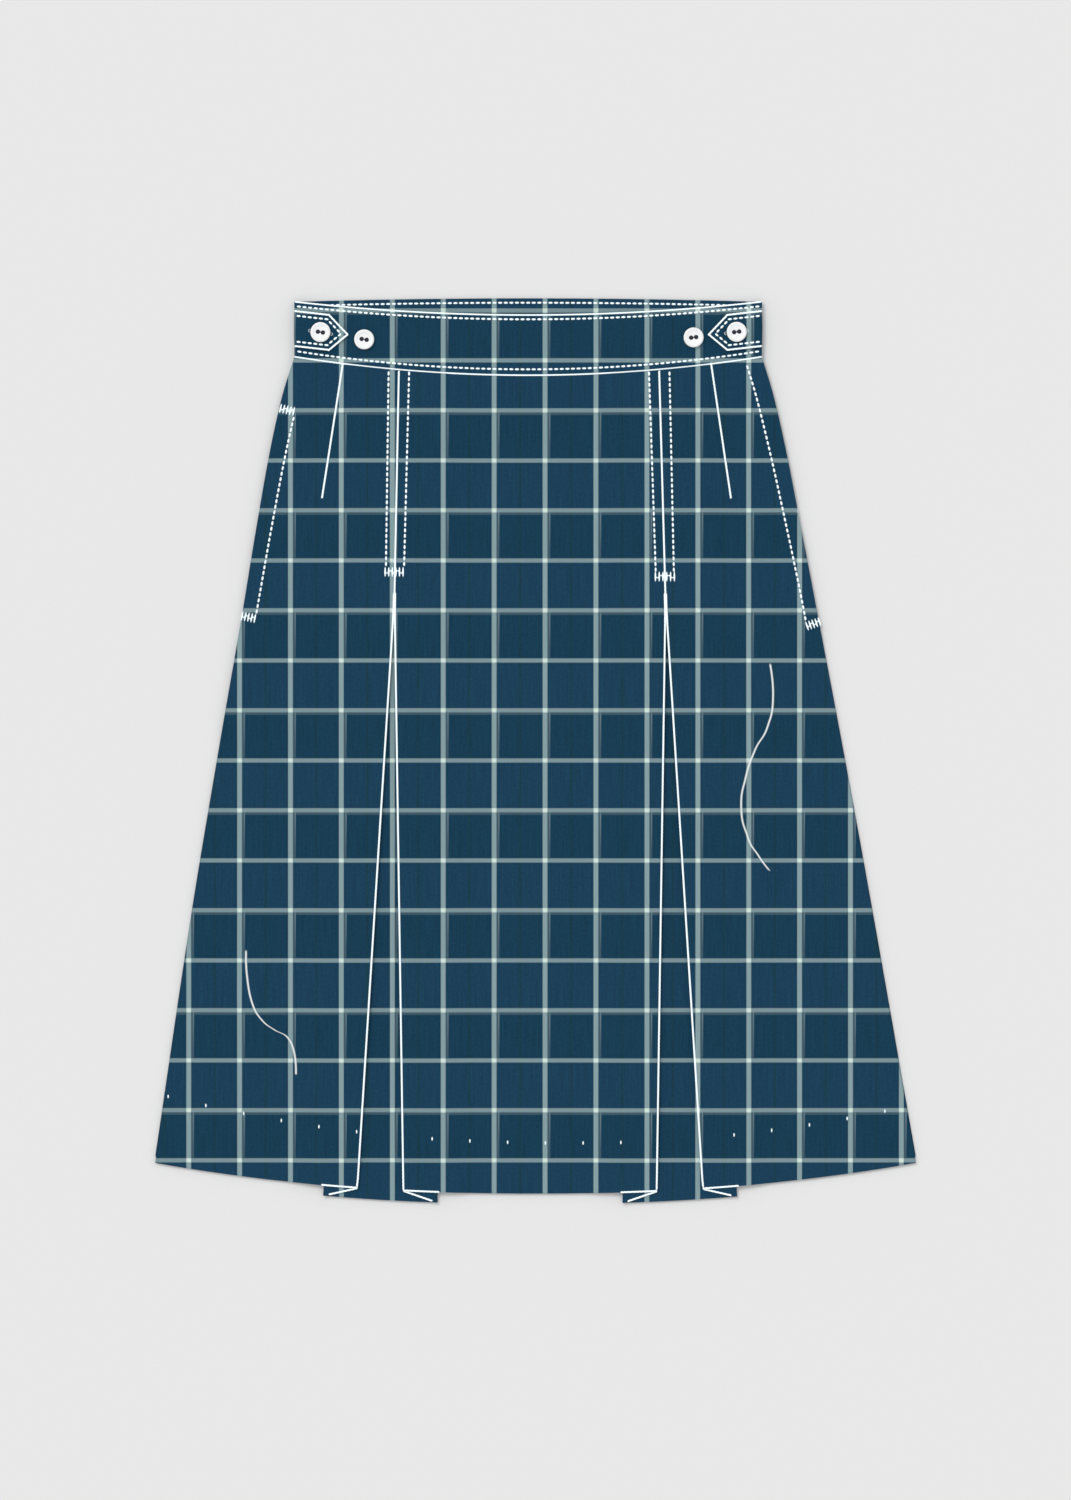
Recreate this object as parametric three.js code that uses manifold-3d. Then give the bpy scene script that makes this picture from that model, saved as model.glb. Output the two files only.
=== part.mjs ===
// A checked A-line skirt with two inverted pleats, laid flat on its back panel, front up.
// Millimetres. X runs across the skirt towards the wearer's left side, Y runs up it to
// the waist, and Z is the height above the surface that it lies on.
import * as THREE from "three";
import { mergeVertices } from "three/addons/utils/BufferGeometryUtils.js";
import Module from "manifold-3d";

const wasm = await Module();
wasm.setup();

// Cloth
const clothThickness = 1.0;
const seamGap = 0.3;
const clothPitch = clothThickness + seamGap;

// Waist: two curved bands, each as wide as the flat waist
const waistCentreX = -5.5;
const waistHalfWidth = 175.5;
const bandSideTopY = 336.8;
const bandSideSeamY = 295.1;
const frontBandDip = { top: 10.0, seam: 13.9, thickness: 2.8 };
const backBandRise = { top: 2.6, seam: 2.0, thickness: 2.0 };
const bandEdgeRound = 0.7;

// Side seams: distance down from the waist seam, and X of each side
const sideSeams = [
  { down: 0, right: -181.0, left: 170.0 },
  { down: 28, right: -189.8, left: 178.4 },
  { down: 70, right: -199.2, left: 188.0 },
  { down: 130, right: -209.8, left: 199.6 },
  { down: 195, right: -220.4, left: 211.9 },
  { down: 300, right: -238.4, left: 231.6 },
  { down: 420, right: -258.2, left: 253.2 },
  { down: 604.5, right: -285.4, left: 285.4 },
];

// Hem: a curve that is lowest at the centre front
const hemSideY = -309.4;
const hemCentreY = -332.4;
const hemHalfWidth = 285.4;
const hemCurve = 2.2;
const backHemRise = 5;

// Inverted pleats: stitched shut from the waist to just below the bar tack, open from there
const openY = 102.5;
const pleatDepth = 26;
const stitchedGap = 0.2;
const underlayDrop = 7.91;
const pleats = [
  { waistX: -102.4, openX: -106.0, hemRightX: -133.3, hemLeftX: -99.4 },
  { waistX: 92.7, openX: 97.8, hemRightX: 91.2, hemLeftX: 125.2 },
];

// Lie of the front over what is under it
const pleatSlope = 30;
const pleatShoulder = 3;
const waistLift = { height: 1.9, length: 48 };
const ease = { height: 1.1, edge: 55, hemEdge: 70 };
const creaseLines = [
  {
    height: 2.2,
    halfWidth: 11,
    points: [
      { x: -217, y: -148 },
      { x: -212, y: -190 },
      { x: -192, y: -212 },
      { x: -180, y: -244 },
    ],
  },
  {
    height: 2.2,
    halfWidth: 13,
    points: [
      { x: 176, y: 66 },
      { x: 176, y: 22 },
      { x: 155, y: -28 },
      { x: 158, y: -62 },
      { x: 176, y: -92 },
    ],
  },
];

// Waist tabs, measured from the waist centre
const tab = {
  tip: 134.8,
  shoulder: 149.1,
  halfHeight: 13.5,
  tipHalfHeight: 0.6,
  tipY: 311.7,
  sideY: 316.3,
  thickness: 1.6,
  rootZ: 1.3,
};

// Two-hole buttons, measured from the waist centre
const button = { radius: 7.5, height: 2.8, rim: 1.1, dish: 0.7, holeRadius: 1.4, holeOffset: 1.85 };
const buttonSides = 24;
const holeSides = 10;
const tabButtons = {
  right: { out: 155.6, y: 313.4, turn: -0.16 },
  left: { out: 156.2, y: 313.6, turn: 0.12 },
};
const bandButtons = {
  right: { out: 122.9, y: 308.1, turn: -0.17 },
  left: { out: 124.0, y: 309.6, turn: 0.12 },
};

// In-seam pocket on the wearer's right, and the zip on the wearer's left
const pocketMouth = { topY: 257, bottomY: 101 };
const pocketBag = { topWidth: 50, bottomWidth: 84, drop: 72, cornerRadius: 26 };
const zip = { topY: 290.5, bottomY: 97, tapeWidth: 13 };
const seamInset = 1.2;
const liftSlope = 16;
const liftMargin = 9;

// Heights above the surface
const backTopZ = clothThickness;
const underlayZ = backTopZ + seamGap + clothThickness / 2;
const returnZ = underlayZ + clothPitch;
const panelOverPleatZ = returnZ + clothPitch;
const panelRestZ = underlayZ;
const frontBandZ = backBandRise.thickness + seamGap;
const tabZ = frontBandZ + frontBandDip.thickness + seamGap;

// Rows down the skirt and steps across it
const closedRows = 7;
const openRows = 18;
const sidePanelSteps = 10;
const centrePanelSteps = 9;
const shoulderSteps = 2;
const returnSteps = 2;
const underlaySteps = 5;
const bendAngles = [60, 120];
const bandSteps = 28;
const outlineSteps = 20;

const clothColour = { color: 0x1b3f55, roughness: 0.85, metalness: 0 };
const pocketingColour = { color: 0x22303c, roughness: 0.9, metalness: 0 };
const buttonColour = { color: 0xf1f3f3, roughness: 0.35, metalness: 0 };

const lerp = (a, b, t) => a + (b - a) * t;
const clamp01 = (t) => Math.min(1, Math.max(0, t));
const smooth = (t) => clamp01(t) ** 2 * (3 - 2 * clamp01(t));

// The larger of two lifts, with a rounded change from one to the other.
function softMax(a, b) {
  const blend = 0.4;
  const near = Math.max(blend - Math.abs(a - b), 0) / blend;
  return Math.max(a, b) + (near * near * blend) / 4;
}

// A smooth curve through a table's rows.
function tableCurve(rows, key, column) {
  return (at) => {
    let i = 0;
    while (i < rows.length - 2 && at > rows[i + 1][key]) i++;
    const [before, from, to, after] = [i - 1, i, i + 1, i + 2].map(
      (k) => rows[Math.min(rows.length - 1, Math.max(0, k))],
    );
    const span = to[key] - from[key];
    const t = clamp01((at - from[key]) / span);
    const slope = (p, q) => (q[column] - p[column]) / (q[key] - p[key]);
    const slopeFrom = slope(before, to) * span;
    const slopeTo = slope(from, after) * span;
    const h = (a, b, c, d) => a * t ** 3 + b * t ** 2 + c * t + d;
    return (
      h(2, -3, 0, 1) * from[column] +
      h(1, -2, 1, 0) * slopeFrom +
      h(-2, 3, 0, 0) * to[column] +
      h(1, -1, 0, 0) * slopeTo
    );
  };
}

const rightSide = tableCurve(sideSeams, "down", "right");
const leftSide = tableCurve(sideSeams, "down", "left");
const rightSideX = (y) => rightSide(bandSideSeamY - y);
const leftSideX = (y) => leftSide(bandSideSeamY - y);

const acrossWaist = (x) => Math.abs(x - waistCentreX) / waistHalfWidth;
const frontBandTopY = (x) => bandSideTopY - frontBandDip.top * (1 - acrossWaist(x) ** 2);
const frontSeamY = (x) => bandSideSeamY - frontBandDip.seam * (1 - acrossWaist(x) ** 2);
const backBandTopY = (x) => bandSideTopY + backBandRise.top * (1 - acrossWaist(x) ** 2);
const backSeamY = (x) => bandSideSeamY + backBandRise.seam * (1 - acrossWaist(x) ** 2);
const hemY = (x) =>
  lerp(hemCentreY, hemSideY, Math.min(1, Math.abs(x) / hemHalfWidth) ** hemCurve);

// X of a pleat's folded edge: side is -1 for its right-hand fold and 1 for its left.
function pleatEdgeX(pleat, side, y) {
  if (y > openY) {
    const up = (y - openY) / (frontSeamY(pleat.waistX) - openY);
    return lerp(pleat.openX, pleat.waistX, up) + side * stitchedGap;
  }
  const hemX = side < 0 ? pleat.hemRightX : pleat.hemLeftX;
  const down = (openY - y) / (openY - hemY(hemX));
  return lerp(pleat.openX + side * stitchedGap, hemX, down);
}

// How far each thing under the front lifts it.
function pleatLift(x, y) {
  const lifts = pleats.map((pleat) => {
    const reach = pleatDepth + pleatShoulder;
    const outside = Math.max(
      pleatEdgeX(pleat, -1, y) - reach - x,
      x - pleatEdgeX(pleat, 1, y) - reach,
      0,
    );
    return 1 - smooth(outside / pleatSlope);
  });
  return (panelOverPleatZ - panelRestZ) * Math.max(...lifts);
}

function bandLift(x, y) {
  return waistLift.height * (1 - smooth((frontSeamY(x) - y) / waistLift.length));
}

function boxLift(across, y, topY, bottomY) {
  const outside = Math.max(across, y - topY, bottomY - y, 0);
  return clothPitch * (1 - smooth(outside / liftSlope));
}

function pocketLift(x, y) {
  const { topY, bottomY } = pocketMouth;
  const across = x - rightSideX(y) - pocketWidth(y) - liftMargin;
  return boxLift(across, y, topY + liftMargin, bottomY - pocketBag.drop - liftMargin);
}

function zipLift(x, y) {
  const across = leftSideX(y) - zip.tapeWidth - liftMargin / 2 - x;
  return boxLift(across, y, zip.topY + liftMargin, zip.bottomY - liftMargin);
}

// Air that stays under the front when the skirt is laid down.
function easeLift(x, y) {
  const fromSide = Math.min(x - rightSideX(y), leftSideX(y) - x);
  const fromHem = y - hemY(x);
  const swell = 0.6 + 0.4 * Math.sin(x / 47 + y / 140) * Math.cos(y / 88 - x / 190);
  return ease.height * swell * smooth(fromSide / ease.edge) * smooth(fromHem / ease.hemEdge);
}

const creases = creaseLines.map((crease) => {
  const curve = new THREE.CatmullRomCurve3(
    crease.points.map((p) => new THREE.Vector3(p.x, p.y, 0)),
  );
  return { ...crease, along: curve.getPoints(outlineSteps) };
});

function creaseLift(x, y) {
  let lift = 0;
  for (const { height, halfWidth, along } of creases) {
    const from = along.map((p) => Math.hypot(p.x - x, p.y - y));
    const nearest = Math.min(...from);
    const share = from.indexOf(nearest) / outlineSteps;
    lift += height * Math.sin(Math.PI * lerp(0.1, 0.9, share)) * Math.exp(-((nearest / halfWidth) ** 2));
  }
  return lift;
}

function panelZ(x, y) {
  const lift = [bandLift, pocketLift, zipLift].reduce(
    (most, liftOf) => softMax(most, liftOf(x, y)),
    pleatLift(x, y),
  );
  return panelRestZ + lift + easeLift(x, y) + creaseLift(x, y);
}

const layers = {
  panel: panelZ,
  fold: () => returnZ,
  underlay: () => underlayZ,
};

// The front cloth's path across the skirt at one height, from the wearer's right side to
// the left: each step has its X, the layers it lies between, and its share of the drop.
function frontPath(down) {
  const path = [];
  const yAt = (x) => lerp(frontSeamY(x), hemY(x), down);
  const step = (x, upper, lower, share, drop) => path.push({ x, upper, lower, share, drop });
  const run = (from, to, steps, layer, dropFrom, dropTo, first = 0) => {
    for (let k = first; k <= steps; k++) {
      step(lerp(from, to, k / steps), layer, layer, 0, lerp(dropFrom, dropTo, k / steps));
    }
  };
  const bendRadius = clothPitch / 2;
  const bend = (centreX, side, upper, lower, goingDown, drop) => {
    const angles = goingDown ? bendAngles : [...bendAngles].reverse();
    for (const angle of angles) {
      const radians = THREE.MathUtils.degToRad(angle);
      const x = centreX + side * bendRadius * Math.sin(radians);
      step(x, upper, lower, (1 - Math.cos(radians)) / 2, drop);
    }
  };
  const inset = bendRadius + clothThickness / 2;
  let fromX = rightSideX(lerp(bandSideSeamY, hemSideY, down));
  pleats.forEach((pleat, k) => {
    const y = yAt(lerp(pleat.waistX, pleat.openX, down));
    const foldRight = pleatEdgeX(pleat, -1, y) - inset;
    const foldLeft = pleatEdgeX(pleat, 1, y) + inset;
    const innerRight = foldRight - pleatDepth + 2 * inset;
    const innerLeft = foldLeft + pleatDepth - 2 * inset;
    const shoulderX = foldRight - pleatDepth - pleatShoulder;
    const panelSteps = k === 0 ? sidePanelSteps : centrePanelSteps;
    run(fromX, shoulderX, panelSteps, "panel", 0, 0, k === 0 ? 0 : 1);
    run(shoulderX, foldRight, shoulderSteps, "panel", 0, 0, 1);
    bend(foldRight, 1, "panel", "fold", true, 0);
    run(foldRight, innerRight, returnSteps, "fold", 0, 1);
    bend(innerRight, -1, "fold", "underlay", true, 1);
    run(innerRight, innerLeft, underlaySteps, "underlay", 1, 1);
    bend(innerLeft, 1, "fold", "underlay", false, 1);
    run(innerLeft, foldLeft, returnSteps, "fold", 1, 0);
    bend(foldLeft, -1, "panel", "fold", false, 0);
    run(foldLeft, foldLeft + pleatDepth + pleatShoulder, shoulderSteps, "panel", 0, 0);
    fromX = foldLeft + pleatDepth + pleatShoulder;
  });
  run(fromX, leftSideX(lerp(bandSideSeamY, hemSideY, down)), sidePanelSteps, "panel", 0, 0, 1);
  return path;
}

// Middle surface of the front cloth: rows down the skirt, each a path across it.
function frontRows() {
  const top = frontPath(0);
  const bottom = frontPath(1);
  const pleatTop = frontSeamY(pleats[0].waistX);
  const openShare = (pleatTop - openY) / (pleatTop - hemY(pleats[0].hemRightX));
  const shares = [];
  for (let k = 0; k < closedRows; k++) shares.push((openShare * k) / closedRows);
  for (let k = 0; k <= openRows; k++) shares.push(lerp(openShare, 1, k / openRows));
  return shares.map((down) =>
    frontPath(down).map(({ x, upper, lower, share, drop }, j) => {
      const topY = frontSeamY(top[j].x) - seamGap;
      const y = lerp(topY, hemY(bottom[j].x) - drop * underlayDrop, down);
      const z = lerp(layers[upper](x, y), layers[lower](x, y), share);
      return new THREE.Vector3(x, y, z);
    }),
  );
}

// A closed wall of even thickness about a grid of points on its middle surface.
function wall(rows, thickness) {
  const last = rows.length - 1;
  const width = rows[0].length;
  const positions = [];
  for (const side of [1, -1]) {
    rows.forEach((row, i) =>
      row.forEach((point, j) => {
        const across = new THREE.Vector3().subVectors(
          row[Math.min(j + 1, width - 1)],
          row[Math.max(j - 1, 0)],
        );
        const along = new THREE.Vector3().subVectors(
          rows[Math.max(i - 1, 0)][j],
          rows[Math.min(i + 1, last)][j],
        );
        const normal = across.cross(along).normalize();
        positions.push(...point.clone().addScaledVector(normal, (side * thickness) / 2).toArray());
      }),
    );
  }
  const outer = (i, j) => i * width + j;
  const inner = (i, j) => (rows.length + i) * width + j;
  const index = [];
  const quad = (a, b, c, d) => index.push(a, b, c, a, c, d);
  for (let i = 0; i < last; i++) {
    for (let j = 0; j < width - 1; j++) {
      quad(outer(i, j), outer(i + 1, j), outer(i + 1, j + 1), outer(i, j + 1));
      quad(inner(i, j), inner(i, j + 1), inner(i + 1, j + 1), inner(i + 1, j));
    }
    quad(outer(i, 0), inner(i, 0), inner(i + 1, 0), outer(i + 1, 0));
    const end = width - 1;
    quad(outer(i, end), outer(i + 1, end), inner(i + 1, end), inner(i, end));
  }
  for (let j = 0; j < width - 1; j++) {
    quad(outer(0, j), outer(0, j + 1), inner(0, j + 1), inner(0, j));
    quad(outer(last, j), inner(last, j), inner(last, j + 1), outer(last, j + 1));
  }
  return indexedGeometry(positions, index);
}

function indexedGeometry(positions, index) {
  return new THREE.BufferGeometry()
    .setAttribute("position", new THREE.Float32BufferAttribute(positions, 3))
    .setIndex(index);
}

// A solid through closed convex rings, all with the same number of points.
function ringSolid(rings) {
  const size = rings[0].length;
  const positions = rings.flatMap((ring) => ring.flatMap((p) => p.toArray()));
  const index = [];
  for (let i = 0; i < rings.length - 1; i++) {
    for (let k = 0; k < size; k++) {
      const next = (k + 1) % size;
      const [a, b] = [i * size + k, i * size + next];
      index.push(a, b, b + size, a, b + size, a + size);
    }
  }
  const lastRing = (rings.length - 1) * size;
  for (let k = 1; k < size - 1; k++) {
    index.push(0, k + 1, k, lastRing, lastRing + k, lastRing + k + 1);
  }
  return indexedGeometry(positions, index);
}

function named(name, geometry, colour) {
  const mesh = new THREE.Mesh(geometry, new THREE.MeshStandardMaterial(colour));
  mesh.name = name;
  return mesh;
}

// A flat sheet cut to an outline, lying at a height.
function flatSheet(name, points, z, thickness, colour) {
  const shape = new THREE.Shape(points.map(([x, y]) => new THREE.Vector2(x, y)));
  const geometry = new THREE.ExtrudeGeometry(shape, { depth: thickness, bevelEnabled: false });
  const mesh = named(name, geometry, colour);
  mesh.position.z = z;
  return mesh;
}

// Points down one side seam, between two heights.
function sidePoints(sideX, fromY, toY, inset) {
  return Array.from({ length: outlineSteps + 1 }, (_, k) => {
    const y = lerp(fromY, toY, k / outlineSteps);
    return [sideX(y) + inset, y];
  });
}

function frontPanel() {
  return named("front_panel", wall(frontRows(), clothThickness), clothColour);
}

function backPanel() {
  const topOf = (x) => [x, backSeamY(x) - seamGap];
  const hemOf = (x) => [x, hemY(x) + backHemRise];
  const sideTopY = bandSideSeamY - seamGap;
  const sideHemY = hemSideY + backHemRise;
  const across = (fromX, toX) =>
    Array.from({ length: outlineSteps - 1 }, (_, k) => lerp(fromX, toX, (k + 1) / outlineSteps));
  const outline = [
    ...sidePoints(rightSideX, sideTopY, sideHemY, 0),
    ...across(rightSideX(sideHemY), leftSideX(sideHemY)).map(hemOf),
    ...sidePoints(leftSideX, sideHemY, sideTopY, 0),
    ...across(leftSideX(sideTopY), rightSideX(sideTopY)).map(topOf),
  ];
  return flatSheet("back_panel", outline, 0, clothThickness, clothColour);
}

// A waistband: rings across the waist, each with rounded upper edges.
function waistband(name, seamY, topY, z, thickness, roundUnder) {
  const endX = waistHalfWidth - tab.thickness - seamGap;
  const rings = [];
  for (let k = 0; k <= bandSteps; k++) {
    const x = waistCentreX + lerp(-endX, endX, k / bandSteps);
    const [low, high] = [seamY(x), topY(x)];
    const under = roundUnder ? bandEdgeRound : 0;
    rings.push(
      [
        [low + under, z],
        [high - under, z],
        [high, z + Math.max(under, bandEdgeRound / 2)],
        [high, z + thickness - bandEdgeRound],
        [high - bandEdgeRound, z + thickness],
        [low + bandEdgeRound, z + thickness],
        [low, z + thickness - bandEdgeRound],
        [low, z + Math.max(under, bandEdgeRound / 2)],
      ].map(([y, height]) => new THREE.Vector3(x, y, height)),
    );
  }
  return named(name, ringSolid(rings), clothColour);
}

// A waist tab: a pointed strip on the band that turns down round its end at the side seam.
function waistTab(name, side) {
  const middleZ = tabZ + tab.thickness / 2;
  const bendRadius = tab.thickness / 2 + bandEdgeRound;
  const outerX = waistHalfWidth - tab.thickness / 2;
  const flatEnd = outerX - bendRadius;
  const stations = [
    { out: tab.tip, z: middleZ, half: tab.tipHalfHeight },
    { out: lerp(tab.tip, tab.shoulder, 0.5), z: middleZ, half: tab.halfHeight / 2 },
    { out: tab.shoulder, z: middleZ, half: tab.halfHeight },
    { out: lerp(tab.shoulder, flatEnd, 0.5), z: middleZ, half: tab.halfHeight },
    ...[0, 30, 60, 90].map((angle) => {
      const radians = THREE.MathUtils.degToRad(angle);
      const out = flatEnd + bendRadius * Math.sin(radians);
      const z = middleZ - bendRadius * (1 - Math.cos(radians));
      return { out, z, half: tab.halfHeight };
    }),
    { out: outerX, z: tab.rootZ, half: tab.halfHeight },
  ];
  const acrossTab = [1, 0.5, 0, -0.5, -1];
  const rows = stations.map(({ out, z, half }) => {
    const centreY = lerp(tab.tipY, tab.sideY, (out - tab.tip) / (waistHalfWidth - tab.tip));
    return acrossTab.map(
      (share) => new THREE.Vector3(waistCentreX + side * out, centreY + side * share * half, z),
    );
  });
  return named(name, wall(rows, tab.thickness), clothColour);
}

function solidFrom(geometry) {
  geometry.deleteAttribute("normal");
  geometry.deleteAttribute("uv");
  const merged = mergeVertices(geometry);
  return new wasm.Manifold(
    new wasm.Mesh({
      numProp: 3,
      vertProperties: merged.attributes.position.array,
      triVerts: new Uint32Array(merged.index.array),
    }),
  );
}

// A dished button with a raised rim and two holes through it.
function buttonGeometry() {
  const { radius, height, rim, dish, holeRadius, holeOffset } = button;
  const dishZ = height - dish;
  const profile = [
    [0, 0],
    [radius - rim, 0],
    [radius, rim],
    [radius, height - rim / 2],
    [radius - rim / 2, height],
    [radius - 1.5 * rim, height],
    [radius - 2.5 * rim, dishZ],
    [0, dishZ],
  ].map(([r, z]) => new THREE.Vector2(r, z));
  const turned = new THREE.LatheGeometry(profile, buttonSides).rotateX(Math.PI / 2);
  let disc = solidFrom(turned);
  for (const side of [-1, 1]) {
    const drill = new THREE.CylinderGeometry(holeRadius, holeRadius, 3 * height, holeSides);
    drill.rotateX(Math.PI / 2).translate(side * holeOffset, 0, 0);
    disc = disc.subtract(solidFrom(drill));
  }
  const mesh = disc.getMesh();
  return indexedGeometry(Array.from(mesh.vertProperties), Array.from(mesh.triVerts));
}

function buttonOn(name, side, place, z) {
  const mesh = named(name, buttonGeometry(), buttonColour);
  mesh.position.set(waistCentreX + side * place.out, place.y, z);
  mesh.rotation.z = place.turn;
  return mesh;
}

// Width of the pocket bag below its mouth's top.
function pocketWidth(y) {
  const down = (pocketMouth.topY - y) / (pocketMouth.topY - pocketMouth.bottomY);
  return lerp(pocketBag.topWidth, pocketBag.bottomWidth, smooth(down));
}

// A flat pocket bag that hangs inside the right side seam.
function rightPocketBag() {
  const { topY, bottomY } = pocketMouth;
  const { drop, cornerRadius } = pocketBag;
  const deepY = bottomY - drop;
  const innerEdge = sidePoints((y) => rightSideX(y) + pocketWidth(y), topY, deepY + cornerRadius, 0);
  const [cornerX, cornerY] = innerEdge[innerEdge.length - 1];
  const corner = [30, 60, 90].map((angle) => {
    const radians = THREE.MathUtils.degToRad(angle);
    const x = cornerX - cornerRadius * (1 - Math.cos(radians));
    return [x, cornerY - cornerRadius * Math.sin(radians)];
  });
  const lowX = rightSideX(bottomY) + 14;
  const outline = [
    ...sidePoints(rightSideX, topY, bottomY, seamInset),
    [lowX, deepY + cornerRadius],
    [lowX + cornerRadius / 2, deepY],
    ...corner.reverse(),
    ...innerEdge.reverse(),
  ];
  return flatSheet("pocket_bag_right", outline, backTopZ + seamGap, clothThickness, pocketingColour);
}

// A concealed zip's tapes, closed, inside the left side seam.
function leftZip() {
  const outline = [
    ...sidePoints(leftSideX, zip.topY, zip.bottomY, -zip.tapeWidth),
    ...sidePoints(leftSideX, zip.bottomY, zip.topY, -seamInset),
  ];
  return flatSheet("side_zip_left", outline, backTopZ + seamGap, clothThickness, clothColour);
}

const skirt = new THREE.Group();
skirt.add(backPanel());
skirt.add(frontPanel());
const { thickness: backBandThickness } = backBandRise;
const { thickness: frontBandThickness } = frontBandDip;
skirt.add(waistband("waistband_back", backSeamY, backBandTopY, 0, backBandThickness, false));
skirt.add(waistband("waistband_front", frontSeamY, frontBandTopY, frontBandZ, frontBandThickness, true));
skirt.add(rightPocketBag());
skirt.add(leftZip());
for (const [hand, side] of [
  ["right", -1],
  ["left", 1],
]) {
  skirt.add(waistTab("waist_tab_" + hand, side));
  skirt.add(buttonOn("tab_button_" + hand, side, tabButtons[hand], tabZ + tab.thickness + seamGap));
  skirt.add(buttonOn("band_button_" + hand, side, bandButtons[hand], tabZ));
}

export default skirt;
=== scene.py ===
# A checked A-line skirt laid flat on its back, seen from straight above.
# Sizes are in millimetres. X runs to the wearer's left, Y up to the waist, Z up from the floor.
import math

import bmesh
import bpy
from mathutils import Matrix, Vector


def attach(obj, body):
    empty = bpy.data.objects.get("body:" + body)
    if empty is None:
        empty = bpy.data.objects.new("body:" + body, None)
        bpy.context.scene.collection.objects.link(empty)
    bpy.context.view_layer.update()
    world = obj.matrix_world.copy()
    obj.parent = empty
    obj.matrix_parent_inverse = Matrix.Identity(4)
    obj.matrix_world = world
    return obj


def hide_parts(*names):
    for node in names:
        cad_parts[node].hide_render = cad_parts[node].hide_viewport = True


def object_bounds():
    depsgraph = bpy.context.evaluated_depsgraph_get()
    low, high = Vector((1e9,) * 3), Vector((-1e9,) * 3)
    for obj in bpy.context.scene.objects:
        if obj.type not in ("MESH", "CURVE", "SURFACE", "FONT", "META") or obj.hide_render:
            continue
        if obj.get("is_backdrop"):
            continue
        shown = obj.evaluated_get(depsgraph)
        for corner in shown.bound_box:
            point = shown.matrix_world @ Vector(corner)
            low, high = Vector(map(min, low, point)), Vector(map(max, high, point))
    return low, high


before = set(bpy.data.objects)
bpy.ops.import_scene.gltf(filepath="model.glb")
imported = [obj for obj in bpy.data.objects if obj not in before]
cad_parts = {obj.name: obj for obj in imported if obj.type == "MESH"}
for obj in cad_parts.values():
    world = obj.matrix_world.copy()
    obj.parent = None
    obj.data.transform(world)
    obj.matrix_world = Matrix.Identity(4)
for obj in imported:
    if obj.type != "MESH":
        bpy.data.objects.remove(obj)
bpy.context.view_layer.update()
print("frame loaded,", len(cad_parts), "nodes")

mm = 0.001


def lerp(a, b, t):
    return a + (b - a) * t


def clamp01(t):
    return min(1.0, max(0.0, t))


def smooth(t):
    t = clamp01(t)
    return t * t * (3 - 2 * t)


def bump(distance, width):
    return math.exp(-((distance / width) ** 2))


# The outline of the skirt and of its waistband
skirt = {
    "waistCentreX": -5.5,
    "waistHalfWidth": 175.5,
    "bandSideTopY": 336.8,
    "bandSideSeamY": 295.1,
    "frontBandDipTop": 10.0,
    "frontBandDipSeam": 13.9,
    "backBandRiseTop": 2.6,
    "backBandRiseSeam": 2.0,
    "hemSideY": -309.4,
    "hemCentreY": -332.4,
    "hemHalfWidth": 285.4,
    "hemCurve": 2.2,
    "backHemRise": 5,
    "seamGap": 0.3,
    "cloth": 0.9,
}
sideSeams = [
    {"down": 0, "right": -181.0, "left": 170.0},
    {"down": 28, "right": -189.8, "left": 178.4},
    {"down": 70, "right": -199.2, "left": 188.0},
    {"down": 130, "right": -209.8, "left": 199.6},
    {"down": 195, "right": -220.4, "left": 211.9},
    {"down": 300, "right": -238.4, "left": 231.6},
    {"down": 420, "right": -258.2, "left": 253.2},
    {"down": 604.5, "right": -285.4, "left": 285.4},
]
zLevels = {"back": 0.6, "underlay": 1.8, "fold": 3.1, "overPleat": 4.4, "frontBand": 2.3, "tab": 5.4}


# A smooth curve through one column of a table, read by another column
def tableCurve(rows, key, column, at):
    i = 0
    while i < len(rows) - 2 and at > rows[i + 1][key]:
        i += 1
    last = len(rows) - 1
    before, start, end, after = [rows[min(last, max(0, k))] for k in (i - 1, i, i + 1, i + 2)]
    span = end[key] - start[key]
    t = clamp01((at - start[key]) / span)
    slopeStart = (end[column] - before[column]) / (end[key] - before[key]) * span
    slopeEnd = (after[column] - start[column]) / (after[key] - start[key]) * span
    return (
        (2 * t**3 - 3 * t**2 + 1) * start[column]
        + (t**3 - 2 * t**2 + t) * slopeStart
        + (3 * t**2 - 2 * t**3) * end[column]
        + (t**3 - t**2) * slopeEnd
    )


def rightSideX(y):
    return tableCurve(sideSeams, "down", "right", skirt["bandSideSeamY"] - y)


def leftSideX(y):
    return tableCurve(sideSeams, "down", "left", skirt["bandSideSeamY"] - y)


def waistBow(x):
    return 1 - ((x - skirt["waistCentreX"]) / skirt["waistHalfWidth"]) ** 2


def frontBandTopY(x):
    return skirt["bandSideTopY"] - skirt["frontBandDipTop"] * waistBow(x)


def frontSeamY(x):
    return skirt["bandSideSeamY"] - skirt["frontBandDipSeam"] * waistBow(x)


def backBandTopY(x):
    return skirt["bandSideTopY"] + skirt["backBandRiseTop"] * waistBow(x)


def backSeamY(x):
    return skirt["bandSideSeamY"] + skirt["backBandRiseSeam"] * waistBow(x)


def hemY(x):
    out = min(1.0, abs(x) / skirt["hemHalfWidth"])
    return lerp(skirt["hemCentreY"], skirt["hemSideY"], out ** skirt["hemCurve"])


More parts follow.
